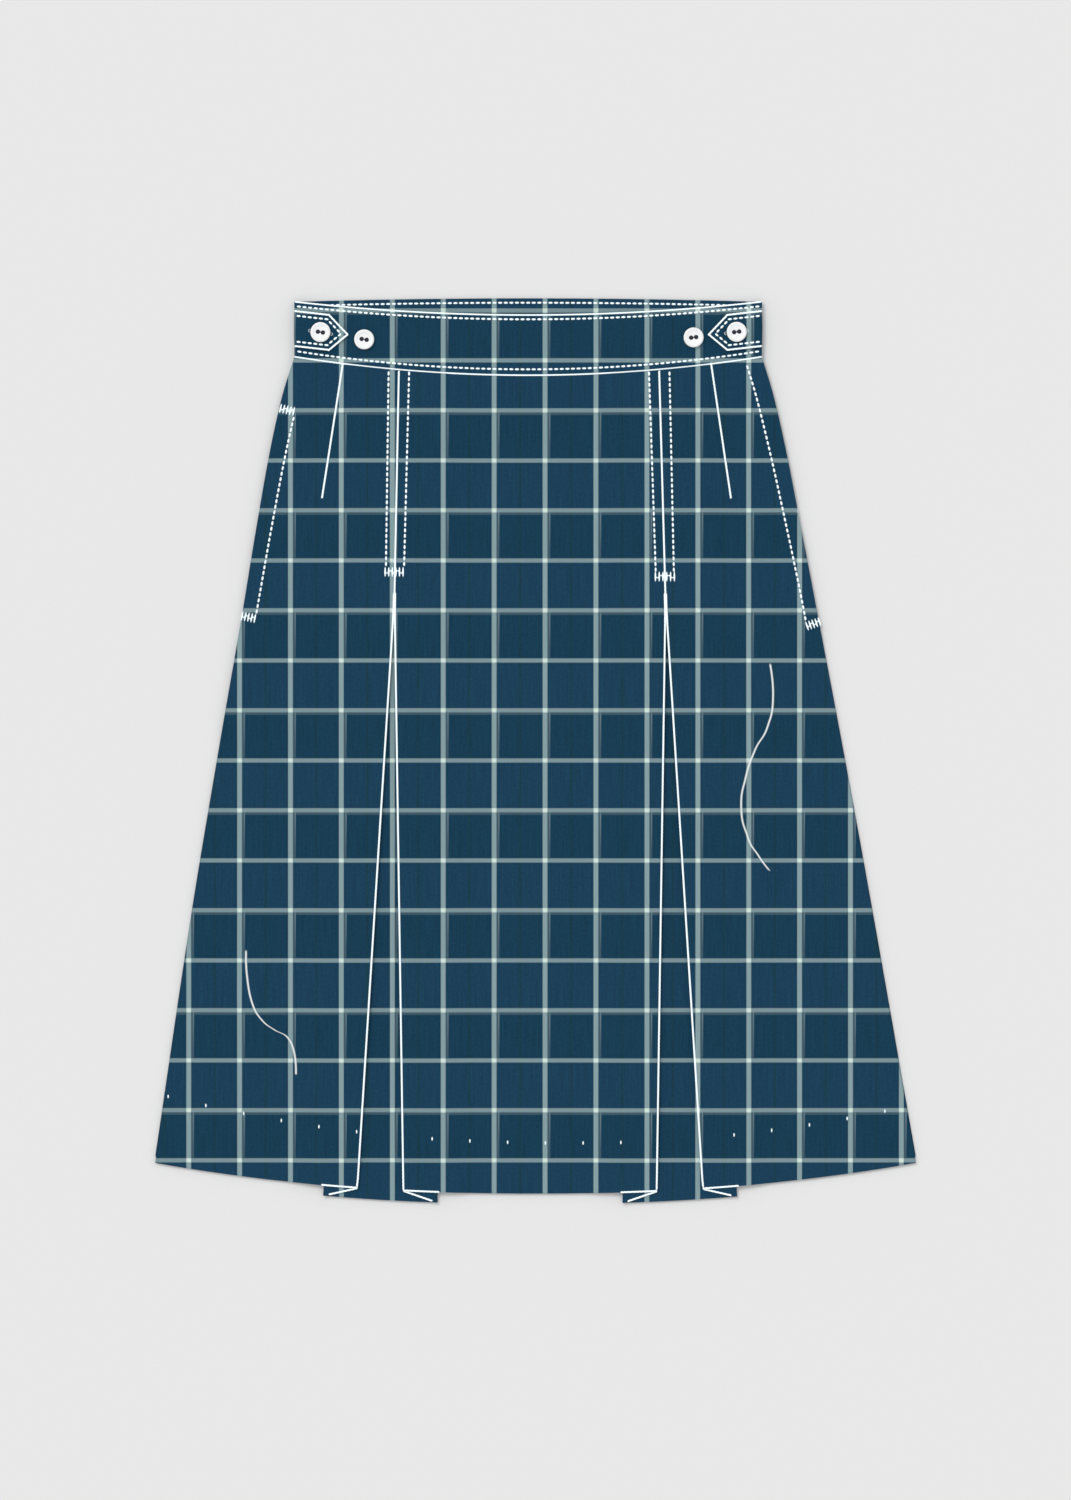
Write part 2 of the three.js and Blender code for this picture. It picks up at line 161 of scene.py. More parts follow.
# Inverted pleats, stitched shut to just below the bar tack and open from there
pleat = {
    "openY": 102.5,
    "depth": 26,
    "stitchedGap": 0.2,
    "underlayDrop": 7.91,
    "shoulder": 3,
    "slope": 30,
    "bendRadius": 0.65,
    "bendAngles": [30, 60, 90, 120, 150],
    "inset": 1.15,
}
pleats = [
    {"waistX": -102.4, "openX": -106.0, "hemRightX": -133.3, "hemLeftX": -99.4},
    {"waistX": 92.7, "openX": 97.8, "hemRightX": 91.2, "hemLeftX": 125.2},
]


# X where a pleat's fold meets the hem: side is -1 on the wearer's right, 1 on the left
def pleatHemX(one, side):
    return one["hemRightX"] if side < 0 else one["hemLeftX"]


# X of a pleat's stitched line, where its two folds meet
def pleatLineX(one, y):
    up = (y - pleat["openY"]) / (frontSeamY(one["waistX"]) - pleat["openY"])
    return lerp(one["openX"], one["waistX"], up)


# X of a pleat's folded edge on the same two sides
def pleatEdgeX(one, side, y):
    if y > pleat["openY"]:
        return pleatLineX(one, y) + side * pleat["stitchedGap"]
    hemX = pleatHemX(one, side)
    down = (pleat["openY"] - y) / (pleat["openY"] - hemY(hemX))
    return lerp(one["openX"] + side * pleat["stitchedGap"], hemX, down)


# How the front lies over what is under it
pocket = {"topY": 257, "bottomY": 101, "topWidth": 50, "bottomWidth": 84, "drop": 72, "corner": 26}
zipTape = {"topY": 290.5, "bottomY": 97, "width": 13}
seamInset = 1.2
lie = {
    "waistHeight": 1.9,
    "waistLength": 48,
    "boxHeight": 1.3,
    "slope": 16,
    "margin": 9,
    "blend": 0.4,
    "ease": 1.1,
    "easeFromSide": 55,
    "easeFromHem": 70,
    "swell": 0.4,
    "waves": ((47, 140), (-190, 88)),
}
creaseShape = {"steps": 16, "arch": (0.1, 0.9)}
creases = [
    {
        "height": 2.2,
        "halfWidth": 11,
        "points": [(-217, -148), (-212, -190), (-192, -212), (-180, -244)],
    },
    {
        "height": 2.2,
        "halfWidth": 13,
        "points": [(176, 66), (176, 22), (155, -28), (158, -62), (176, -92)],
    },
]
darts = [
    {"top": (-144.4, 290.6), "tip": (-160.1, 189.4)},
    {"top": (131.6, 290.6), "tip": (146.6, 189.4)},
]
dartDent = {"depth": 0.35, "halfWidth": 4}


def pocketWidth(y):
    down = (pocket["topY"] - y) / (pocket["topY"] - pocket["bottomY"])
    return lerp(pocket["topWidth"], pocket["bottomWidth"], smooth(down))


# The panel lies over a pleat's folds for their depth, and slopes down beyond them
def pleatLift(x, y):
    reach = pleat["depth"] + pleat["shoulder"]
    lifts = []
    for one in pleats:
        right, left = pleatEdgeX(one, -1, y), pleatEdgeX(one, 1, y)
        outside = max(right - reach - x, x - left - reach, 0)
        lifts.append(1 - smooth(outside / pleat["slope"]))
    return (zLevels["overPleat"] - zLevels["underlay"]) * max(lifts)


# Lift over what lies under the front between two heights, a distance across from its edge
def boxLift(across, y, topY, bottomY):
    outside = max(across, y - topY, bottomY - y, 0)
    return lie["boxHeight"] * (1 - smooth(outside / lie["slope"]))


# The larger of two lifts, eased where they are nearly alike
def softMax(a, b):
    near = max(lie["blend"] - abs(a - b), 0) / lie["blend"]
    return max(a, b) + near * near * lie["blend"] / 4


# How far a place is from a line through points, and at what share of the line
def nearestOn(points, x, y):
    best = (1e9, 0.0)
    last = len(points) - 1
    for k in range(last):
        (ax, ay), (bx, by) = points[k], points[k + 1]
        dx, dy = bx - ax, by - ay
        t = clamp01(((x - ax) * dx + (y - ay) * dy) / (dx * dx + dy * dy))
        away = math.hypot(x - ax - t * dx, y - ay - t * dy)
        best = min(best, (away, (k + t) / last))
    return best


# A smooth line through a few points
def curveThrough(points, steps):
    rows = [{"k": k, "x": p[0], "y": p[1]} for k, p in enumerate(points)]
    ends = len(points) - 1
    at = [ends * k / steps for k in range(steps + 1)]
    return [(tableCurve(rows, "k", "x", t), tableCurve(rows, "k", "y", t)) for t in at]


for crease in creases:
    crease["line"] = curveThrough(crease["points"], creaseShape["steps"])


# The soft creases are lower towards both ends
def creaseLift(x, y):
    lift = 0
    for crease in creases:
        away, share = nearestOn(crease["line"], x, y)
        if away < 3 * crease["halfWidth"]:
            fade = math.sin(math.pi * lerp(*creaseShape["arch"], share))
            lift += crease["height"] * fade * bump(away, crease["halfWidth"])
    return lift


# A dart draws the cloth in along its line, most at the waist
def dartDip(x, y):
    dip = 0
    for dart in darts:
        away, share = nearestOn([dart["top"], dart["tip"]], x, y)
        dip += dartDent["depth"] * (1 - share) * bump(away, dartDent["halfWidth"])
    return dip


# Middle surface of the front over the back, the pocket, the zip and the pleats
def panelZ(x, y):
    waist = lie["waistHeight"] * (1 - smooth((frontSeamY(x) - y) / lie["waistLength"]))
    margin = lie["margin"]
    overPocket = boxLift(
        x - rightSideX(y) - pocketWidth(y) - margin,
        y,
        pocket["topY"] + margin,
        pocket["bottomY"] - pocket["drop"] - margin,
    )
    overZip = boxLift(
        leftSideX(y) - zipTape["width"] - margin / 2 - x,
        y,
        zipTape["topY"] + margin,
        zipTape["bottomY"] - margin,
    )
    lift = softMax(softMax(softMax(pleatLift(x, y), waist), overPocket), overZip)
    fromSide = min(x - rightSideX(y), leftSideX(y) - x)
    fromHem = y - hemY(x)
    (acrossOne, downOne), (acrossTwo, downTwo) = lie["waves"]
    waves = math.sin(x / acrossOne + y / downOne) * math.cos(x / acrossTwo + y / downTwo)
    swell = 1 - lie["swell"] + lie["swell"] * waves
    air = lie["ease"] * swell
    air *= smooth(fromSide / lie["easeFromSide"]) * smooth(fromHem / lie["easeFromHem"])
    return zLevels["underlay"] + lift + air + creaseLift(x, y) - dartDip(x, y)


def layerZ(layer, x, y):
    return panelZ(x, y) if layer == "panel" else zLevels[layer]


# An sRGB hex colour as linear red, green, blue and alpha
def linear(hexColour):
    parts = [int(hexColour[k : k + 2], 16) / 255 for k in (1, 3, 5)]
    return [p / 12.92 if p <= 0.04045 else ((p + 0.055) / 1.055) ** 2.4 for p in parts] + [1]


# Adds a node with its settings. An input takes a value, a hex colour, a socket, or another
# node for its first output.
def addNode(tree, kind, inputs=None, **settings):
    node = tree.nodes.new(kind)
    for key, value in settings.items():
        setattr(node, key, value)
    for key, value in (inputs or {}).items():
        if isinstance(value, str):
            value = linear(value)
        if isinstance(value, bpy.types.Node):
            value = next(out for out in value.outputs if out.enabled)
        if isinstance(value, bpy.types.NodeSocket):
            tree.links.new(value, node.inputs[key])
        else:
            node.inputs[key].default_value = value
    return node


def newMaterial(name):
    material = bpy.data.materials.new(name)
    material.use_nodes = True
    material.node_tree.nodes.clear()
    return material, material.node_tree


# 1 on a stripe and 0 off it, for stripes that repeat. The axis is a place and its pitch.
def stripeMask(tree, axis, centre, halfWidth, soft=0.25):
    phase, pitch = axis
    for operation, values in (
        ("SUBTRACT", {1: centre}),
        ("MULTIPLY_ADD", {1: 1 / pitch, 2: 0.5}),
        ("FRACT", {}),
        ("SUBTRACT", {1: 0.5}),
        ("ABSOLUTE", {}),
    ):
        phase = addNode(tree, "ShaderNodeMath", {0: phase, **values}, operation=operation)
    return addNode(
        tree,
        "ShaderNodeMapRange",
        {
            "Value": phase,
            "From Min": (halfWidth + soft) / pitch,
            "From Max": (halfWidth - soft) / pitch,
            "To Min": 0,
            "To Max": 1,
        },
        interpolation_type="SMOOTHSTEP",
    )


check = {
    "acrossPitch": 38.19,
    "acrossCentre": 7.17,
    "downPitch": 37.5,
    "evenRow": -7.45,
    "oddRow": 30.18,
    "warpHalfWidth": 1.78,
    "weftHalfWidth": 1.57,
    "besideOffset": 2.8,
    "besideHalfWidth": 0.95,
    "hairlineOffset": 3.5,
    "hairlineHalfWidth": 0.42,
    "underOffset": -2.55,
    "underHalfWidth": 0.85,
    "warpTone": 0.43,
    "weftTone": 0.352,
    "thinTone": 0.078,
    "hairlineFade": (0.1, 0.475),
    "hairlineTone": (0.07, 0.27),
    "darkOffset": 19.5,
    "darkHalfWidth": 0.7,
    "darkTone": 0.4,
    "yarn": 0.85,
    "yarnTone": 0.28,
    "pale": "#c4e0df",
    "cream": "#d0e0d7",
    "upperGround": "#163e57",
    "lowerGround": "#113b52",
    "darkYarn": "#16372f",
    # pale colour of the painted highlight along the creases' crests
    "highlightColour": "#eef3f1",
}
# painted highlight along the crests: its outer and inner half widths, its strength and its fade at the ends
crestHighlight = {"outer": 0.95, "inner": 0.35, "strength": 0.9, "endFade": 1.5}


# Wool suiting, a dark teal plain weave with a paler yarn for the windowpane check. Where a
# pale warp crosses a dark weft the stripe is a half tone, and where both are pale it is cream.
# Real yarns lie about 0.4 mm apart; they are drawn 0.85 mm apart so that they show.
def makeSuiting(name, crestLines=()):
    material, tree = newMaterial(name)
    uv = addNode(tree, "ShaderNodeUVMap", uv_map="cloth")
    place = addNode(tree, "ShaderNodeVectorMath", {0: uv, "Scale": 1000}, operation="SCALE")
    axes = addNode(tree, "ShaderNodeSeparateXYZ", {0: place})
    u, v = axes.outputs[0], axes.outputs[1]
    c = check
    across, down = c["acrossPitch"], c["downPitch"]
    centre, even, odd = c["acrossCentre"], c["evenRow"], c["oddRow"]
    warps, wefts = (u, across), (v, 2 * down)
    warpStripe = stripeMask(tree, warps, centre, c["warpHalfWidth"])
    evenStripe = stripeMask(tree, wefts, even, c["weftHalfWidth"])
    oddStripe = stripeMask(tree, wefts, odd, c["weftHalfWidth"])
    weftStripe = addNode(tree, "ShaderNodeMath", {0: evenStripe, 1: oddStripe}, operation="MAXIMUM")
    shadedRow = stripeMask(tree, wefts, even + down / 2, down / 2, 0.2)
    under = stripeMask(tree, wefts, odd + c["underOffset"], c["underHalfWidth"])
    beside = stripeMask(tree, warps, centre + c["besideOffset"], c["besideHalfWidth"])
    hairline = stripeMask(tree, warps, centre + c["hairlineOffset"], c["hairlineHalfWidth"], 0.2)
    darkWarp = stripeMask(tree, warps, centre + c["darkOffset"], c["darkHalfWidth"], 0.6)

    # which yarn is on top, and how round it is
    cells = addNode(tree, "ShaderNodeVectorMath", {0: place, "Scale": 1 / c["yarn"]}, operation="SCALE")
    checker = addNode(
        tree,
        "ShaderNodeTexChecker",
        {"Vector": cells, "Scale": 1.0, "Color1": (1, 1, 1, 1), "Color2": (0, 0, 0, 1)},
    )
    cellAxes = addNode(tree, "ShaderNodeSeparateXYZ", {0: cells})
    rounds = []
    for socket in (cellAxes.outputs[0], cellAxes.outputs[1]):
        turn = addNode(tree, "ShaderNodeMath", {0: socket, 1: math.pi}, operation="MULTIPLY")
        turn = addNode(tree, "ShaderNodeMath", {0: turn}, operation="SINE")
        rounds.append(addNode(tree, "ShaderNodeMath", {0: turn}, operation="ABSOLUTE"))
    warpOnTop = checker.outputs["Fac"]
    yarnHeight = addNode(tree, "ShaderNodeMix", {0: warpOnTop, 2: rounds[1], 3: rounds[0]})

    # tone of the stripes: each alone, both where they cross, and the yarn that is on top
    crossing = addNode(tree, "ShaderNodeMath", {0: warpStripe, 1: weftStripe}, operation="MULTIPLY")
    apart = addNode(tree, "ShaderNodeMath", {0: warpStripe, 1: weftStripe}, operation="SUBTRACT")
    side = addNode(tree, "ShaderNodeMath", {0: warpOnTop, 1: 0.5}, operation="SUBTRACT")
    apart = addNode(tree, "ShaderNodeMath", {0: apart, 1: side}, operation="MULTIPLY")
    tone = 0.0
    for mask, amount in (
        (warpStripe, c["warpTone"]),
        (weftStripe, c["weftTone"]),
        (crossing, 1 - c["warpTone"] - c["weftTone"]),
        (apart, c["yarnTone"]),
    ):
        tone = addNode(tree, "ShaderNodeMath", {0: mask, 1: amount, 2: tone}, operation="MULTIPLY_ADD")
    thin = addNode(tree, "ShaderNodeMath", {0: beside, 1: c["thinTone"]}, operation="MULTIPLY")
    # the hairline beside a pale warp is palest just under the row's upper stripe
    (low, high), (faint, strong) = c["hairlineFade"], c["hairlineTone"]
    upRow = addNode(tree, "ShaderNodeMath", {0: v, 1: even}, operation="SUBTRACT")
    upRow = addNode(tree, "ShaderNodeMath", {0: upRow, 1: 0.5 / down}, operation="MULTIPLY")
    upRow = addNode(tree, "ShaderNodeMath", {0: upRow}, operation="FRACT")
    fade = addNode(tree, "ShaderNodeMapRange", {0: upRow, 1: low, 2: high, 3: faint, 4: strong})
    fine = addNode(tree, "ShaderNodeMath", {0: hairline, 1: fade}, operation="MULTIPLY")
    thin = addNode(tree, "ShaderNodeMath", {0: thin, 1: fine}, operation="MAXIMUM")
    thin = addNode(tree, "ShaderNodeMath", {0: thin, 1: shadedRow}, operation="MULTIPLY")
    shade = addNode(tree, "ShaderNodeMath", {0: under, 1: c["thinTone"]}, operation="MULTIPLY")
    thin = addNode(tree, "ShaderNodeMath", {0: thin, 1: shade}, operation="MAXIMUM")
    tone = addNode(tree, "ShaderNodeMath", {0: tone, 1: thin}, operation="MAXIMUM")
    yarns = {0: crossing, 6: c["pale"], 7: c["cream"]}
    pale = addNode(tree, "ShaderNodeMix", yarns, data_type="RGBA")

    # ground: rows differ a little, and the warp is streaky
    yarns = {0: shadedRow, 6: c["upperGround"], 7: c["lowerGround"]}
    ground = addNode(tree, "ShaderNodeMix", yarns, data_type="RGBA")
    darks = addNode(tree, "ShaderNodeMath", {0: darkWarp, 1: c["darkTone"]}, operation="MULTIPLY")
    yarns = {0: darks, 6: ground, 7: c["darkYarn"]}
    ground = addNode(tree, "ShaderNodeMix", yarns, data_type="RGBA")
    stretched = addNode(tree, "ShaderNodeVectorMath", {0: place, 1: (0.9, 0.035, 1)}, operation="MULTIPLY")
    streaks = addNode(tree, "ShaderNodeTexNoise", {"Vector": stretched, "Scale": 1, "Detail": 3})
    mottle = addNode(tree, "ShaderNodeTexNoise", {"Vector": place, "Scale": 0.55, "Detail": 4})
    level = addNode(tree, "ShaderNodeMath", {0: streaks, 1: mottle}, operation="ADD")
    level = addNode(tree, "ShaderNodeMapRange", {0: level, 1: 0.6, 2: 1.4, 3: 0.78, 4: 1.22})
    ground = addNode(tree, "ShaderNodeVectorMath", {0: ground, "Scale": level}, operation="SCALE")
    colour = addNode(tree, "ShaderNodeMix", {0: tone, 6: ground, 7: pale}, data_type="RGBA")

    # painted highlight: a pale line painted along the crest of each soft crease, standing in for light
    # catching the ridge
    for line in crestLines:
        lowX, highX, lowY, highY = line["box"]
        along = addNode(tree, "ShaderNodeMapRange", {0: v, 1: lowY, 2: highY, 3: 0, 4: 1})
        path = addNode(tree, "ShaderNodeFloatCurve", {"Value": along})
        fitCurve(path.mapping, line)
        across = addNode(tree, "ShaderNodeMapRange", {0: path, 1: 0, 2: 1, 3: lowX, 4: highX})
        away = addNode(tree, "ShaderNodeMath", {0: u, 1: across}, operation="SUBTRACT")
        away = addNode(tree, "ShaderNodeMath", {0: away}, operation="ABSOLUTE")
        crest = addNode(
            tree,
            "ShaderNodeMapRange",
            {0: away, 1: crestHighlight["outer"], 2: crestHighlight["inner"], 3: 0, 4: crestHighlight["strength"]},
        )
        middle = addNode(tree, "ShaderNodeMath", {0: v, 1: (lowY + highY) / 2}, operation="SUBTRACT")
        middle = addNode(tree, "ShaderNodeMath", {0: middle}, operation="ABSOLUTE")
        half = (highY - lowY) / 2
        fade = half - crestHighlight["endFade"]
        within = addNode(tree, "ShaderNodeMapRange", {0: middle, 1: half, 2: fade, 3: 0, 4: 1})
        crest = addNode(tree, "ShaderNodeMath", {0: crest, 1: within}, operation="MULTIPLY")
        yarns = {0: crest, 6: colour, 7: c["highlightColour"]}
        colour = addNode(tree, "ShaderNodeMix", yarns, data_type="RGBA")

    fuzz = addNode(tree, "ShaderNodeTexNoise", {"Vector": place, "Scale": 2.2, "Detail": 3})
    hairs = {0: fuzz, 1: 0.5, 2: yarnHeight}
    height = addNode(tree, "ShaderNodeMath", hairs, operation="MULTIPLY_ADD")
    relief = addNode(tree, "ShaderNodeBump", {"Strength": 0.35, "Distance": 0.12 * mm, "Height": height})
    rough = addNode(tree, "ShaderNodeMapRange", {0: fuzz, 1: 0.3, 2: 0.7, 3: 0.82, 4: 0.94})
    shader = addNode(
        tree,
        "ShaderNodeBsdfPrincipled",
        {
            "Base Color": colour,
            "Roughness": rough,
            "Specular IOR Level": 0.12,
            "Sheen Weight": 0.02,
            "Sheen Roughness": 0.5,
            "Normal": relief,
        },
    )
    addNode(tree, "ShaderNodeOutputMaterial", {"Surface": shader})
    return material


# Sets a curve node to run through a line's points, both ways as shares of the line's box
def fitCurve(mapping, line):
    lowX, highX, lowY, highY = line["box"]
    points = [((y - lowY) / (highY - lowY), (x - lowX) / (highX - lowX)) for x, y in line["points"]]
    points.sort()
    curve = mapping.curves[0]
    while len(curve.points) < len(points):
        curve.points.new(0.5, 0.5)
    for point, (at, value) in zip(curve.points, points):
        point.location = (at, value)
    mapping.update()


# Spun polyester sewing thread, two plies twisted, with a slight silk lustre. The white one glows a little,
# painted light that gives back more light than falls on it.
def makeThread(name, colour, twist, paintedGlow=0.0):
    material, tree = newMaterial(name)
    where = addNode(tree, "ShaderNodeTexCoord").outputs["Object"]
    plies = addNode(
        tree,
        "ShaderNodeTexWave",
        {"Vector": where, "Scale": twist, "Distortion": 1.5, "Detail": 1},
        bands_direction="DIAGONAL",
    ).outputs[1]
    # painted shade: the colour is up to a tenth darker in the grooves between the plies, on the same wave
    # as the relief
    tint = addNode(tree, "ShaderNodeMapRange", {0: plies, 3: 0.9, 4: 1.0})
    shade = addNode(tree, "ShaderNodeVectorMath", {0: linear(colour)[:3], "Scale": tint}, operation="SCALE")
    relief = addNode(tree, "ShaderNodeBump", {"Strength": 0.3, "Distance": 0.1 * mm, "Height": plies})
    shader = addNode(
        tree,
        "ShaderNodeBsdfPrincipled",
        {
            "Base Color": shade,
            "Roughness": 0.6,
            "Sheen Weight": 0.1,
            "Emission Color": colour,
            "Emission Strength": paintedGlow,
            "Normal": relief,
        },
    )
    addNode(tree, "ShaderNodeOutputMaterial", {"Surface": shader})
    return material


# Cast polyester resin, turned and tumbled: milky white, faintly clouded, soft gloss
def makeResin():
    material, tree = newMaterial("castResin")
    where = addNode(tree, "ShaderNodeTexCoord").outputs["Object"]
    cloud = addNode(tree, "ShaderNodeTexNoise", {"Vector": where, "Scale": 190, "Detail": 3})
    tint = addNode(tree, "ShaderNodeMix", {0: cloud, 6: "#eff2f3", 7: "#fdfefe"}, data_type="RGBA")
    marks = addNode(tree, "ShaderNodeTexNoise", {"Vector": where, "Scale": 1400, "Detail": 2})
    rough = addNode(tree, "ShaderNodeMapRange", {0: marks, 1: 0.3, 2: 0.7, 3: 0.28, 4: 0.42})
    relief = addNode(tree, "ShaderNodeBump", {"Strength": 0.08, "Distance": 0.05 * mm, "Height": marks})
    shader = addNode(
        tree,
        "ShaderNodeBsdfPrincipled",
        {"Base Color": tint, "Roughness": rough, "IOR": 1.55, "Normal": relief},
    )
    addNode(tree, "ShaderNodeOutputMaterial", {"Surface": shader})
    return material


# Plain close cotton in one dark colour, for the pocket bag and the zip's tapes
def makePlainCotton(name, light, dark, yarn):
    material, tree = newMaterial(name)
    uv = addNode(tree, "ShaderNodeUVMap", uv_map="cloth")
    place = addNode(tree, "ShaderNodeVectorMath", {0: uv, "Scale": 1000 / yarn}, operation="SCALE")
    checker = addNode(tree, "ShaderNodeTexChecker", {"Vector": place, "Scale": 1.0})
    noise = addNode(tree, "ShaderNodeTexNoise", {"Vector": place, "Scale": 0.4, "Detail": 3})
    # the colour is lighter where the cloth stands higher and darker where it is lower, on the same field as
    # the relief: painted shade, with a random tone from the noise
    threads = {0: checker.outputs["Fac"], 1: 0.4, 2: noise}
    mixed = addNode(tree, "ShaderNodeMath", threads, operation="MULTIPLY_ADD")
    colour = addNode(tree, "ShaderNodeMix", {0: mixed, 6: dark, 7: light}, data_type="RGBA")
    relief = addNode(tree, "ShaderNodeBump", {"Strength": 0.3, "Distance": 0.1 * mm, "Height": mixed})
    shader = addNode(
        tree,
        "ShaderNodeBsdfPrincipled",
        {"Base Color": colour, "Roughness": 0.9, "Normal": relief},
    )
    addNode(tree, "ShaderNodeOutputMaterial", {"Surface": shader})
    return material


# lines along the crests of the two soft creases on the front, where a highlight is painted
crestLines = [
    {
        "box": (-217.5, -179, -243.5, -149.5),
        "points": [
            (-217.1, -149.5), (-216.4, -168.4), (-211.9, -190.9), (-205.1, -202.1),
            (-195.4, -209.6), (-185.6, -215.6), (-181.1, -226.1), (-179.6, -243.5),
        ],
    },
    {
        "box": (154, 179, -90.5, 65.5),
        "points": [
            (175.9, 65.5), (178.1, 37.9), (174.4, 19.1), (164.6, 0.4), (157.1, -22.1),
            (154.1, -40.9), (158.6, -63.4), (166.9, -78.4), (175.9, -90.5),
        ],
    },
]
suiting = makeSuiting("woolSuiting")
# the front's suiting carries the painted highlights along its crease crests
frontSuiting = makeSuiting("woolSuitingCrestHighlight", crestLines)
# the white thread glows faintly, painted light
whiteThread = makeThread("whiteThread", "#f1fcff", 900, 0.24)
navyThread = makeThread("navyThread", "#0f182a", 900)
resin = makeResin()
pocketing = makePlainCotton("cottonPocketing", "#2a3a47", "#1e2b36", 0.6)
tapeCotton = makePlainCotton("zipTapeCotton", "#1f4156", "#183447", 0.7)
print("materials made")


def makePiece(name, bm, material):
    mesh = bpy.data.meshes.new(name)
    bm.to_mesh(mesh)
    bm.free()
    mesh.materials.append(material)
    piece = bpy.data.objects.new(name, mesh)
    bpy.context.scene.collection.objects.link(piece)
    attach(piece, "root")
    return piece


# Takes a closed bmesh away from a piece, and keeps what is left as the piece's own mesh
def cutAway(piece, bm):
    cutterMesh = bpy.data.meshes.new(piece.name + "Cutter")
    bm.to_mesh(cutterMesh)
    bm.free()
    cutter = bpy.data.objects.new(piece.name + "Cutter", cutterMesh)
    bpy.context.scene.collection.objects.link(cutter)
    cut = piece.modifiers.new("cut", "BOOLEAN")
    cut.operation = "DIFFERENCE"
    cut.solver = "EXACT"
    cut.object = cutter
    left = bpy.data.meshes.new_from_object(piece.evaluated_get(bpy.context.evaluated_depsgraph_get()))
    piece.modifiers.clear()
    whole = piece.data
    piece.data = left
    bpy.data.meshes.remove(whole)
    bpy.data.objects.remove(cutter)
    bpy.data.meshes.remove(cutterMesh)


# The check lies on the flat laid garment, so a cloth's own map is its X and Y
def writeClothMap(bm):
    layer = bm.loops.layers.uv.new("cloth")
    for face in bm.faces:
        for loop in face.loops:
            loop[layer].uv = loop.vert.co.xy


# Smooth all over, but for edges that turn by more than an angle
def sharpenEdges(bm, degrees):
    bm.normal_update()
    for face in bm.faces:
        face.smooth = True
    for edge in bm.edges:
        if len(edge.link_faces) == 2 and edge.calc_face_angle(0) > math.radians(degrees):
            edge.smooth = False


# A grid of cloth, each point set by its column and row, then thickened about that surface
def clothSheet(name, grid, place, material):
    columns, rows, thickness = grid["columns"], grid["rows"], grid["thickness"]
    bm = bmesh.new()
    bmesh.ops.create_grid(bm, x_segments=columns, y_segments=rows, size=0.5)
    for vert in bm.verts:
        column = round((vert.co.x + 0.5) * columns)
        row = round((0.5 - vert.co.y) * rows)
        vert.co = Vector(place(column, row)) * mm
    writeClothMap(bm)
    bm.normal_update()
    for vert in bm.verts:
        vert.co += vert.normal * thickness * mm / 2
    bmesh.ops.solidify(bm, geom=bm.faces[:], thickness=thickness * mm)
    sharpenEdges(bm, 50)
    return makePiece(name, bm, material)


frontGrid = {
    "sideSteps": 44,
    "centreSteps": 48,
    "shoulderSteps": 3,
    "returnSteps": 6,
    "underlaySteps": 16,
    "closedRows": 48,
    "openRows": 112,
}


# The front cloth's path across the skirt at one share of the way down it. Each point has its
# X, the two layers that it lies between, its share of the way from the upper to the lower
# one, and its share of the underlay's drop at the hem.
def frontPath(down):
    path = []

    def run(start, end, steps, layer, dropStart, dropEnd, first=0):
        for k in range(first, steps + 1):
            t = k / steps
            path.append((lerp(start, end, t), layer, layer, 0, lerp(dropStart, dropEnd, t)))

    def bend(centreX, side, upper, lower, downward, drop):
        angles = pleat["bendAngles"] if downward else pleat["bendAngles"][::-1]
        for angle in angles:
            radians = math.radians(angle)
            x = centreX + side * pleat["bendRadius"] * math.sin(radians)
            path.append((x, upper, lower, (1 - math.cos(radians)) / 2, drop))

    g = frontGrid
    sideY = lerp(skirt["bandSideSeamY"], skirt["hemSideY"], down)
    startX = rightSideX(sideY)
    for k, one in enumerate(pleats):
        x = lerp(one["waistX"], one["openX"], down)
        y = lerp(frontSeamY(x), hemY(x), down)
        foldRight = pleatEdgeX(one, -1, y) - pleat["inset"]
        foldLeft = pleatEdgeX(one, 1, y) + pleat["inset"]
        innerRight = foldRight - pleat["depth"] + 2 * pleat["inset"]
        innerLeft = foldLeft + pleat["depth"] - 2 * pleat["inset"]
        reach = pleat["depth"] + pleat["shoulder"]
        steps = g["centreSteps"] if k else g["sideSteps"]
        run(startX, foldRight - reach, steps, "panel", 0, 0, 1 if k else 0)
        run(foldRight - reach, foldRight, g["shoulderSteps"] * 3, "panel", 0, 0, 1)
        bend(foldRight, 1, "panel", "fold", True, 0)
        run(foldRight, innerRight, g["returnSteps"], "fold", 0, 1)
        bend(innerRight, -1, "fold", "underlay", True, 1)
        run(innerRight, innerLeft, g["underlaySteps"], "underlay", 1, 1)
        bend(innerLeft, 1, "fold", "underlay", False, 1)
        run(innerLeft, foldLeft, g["returnSteps"], "fold", 1, 0)
        bend(foldLeft, -1, "panel", "fold", False, 0)
        run(foldLeft, foldLeft + reach, g["shoulderSteps"] * 3, "panel", 0, 0)
        startX = foldLeft + reach
    run(startX, leftSideX(sideY), g["sideSteps"], "panel", 0, 0, 1)
    return path


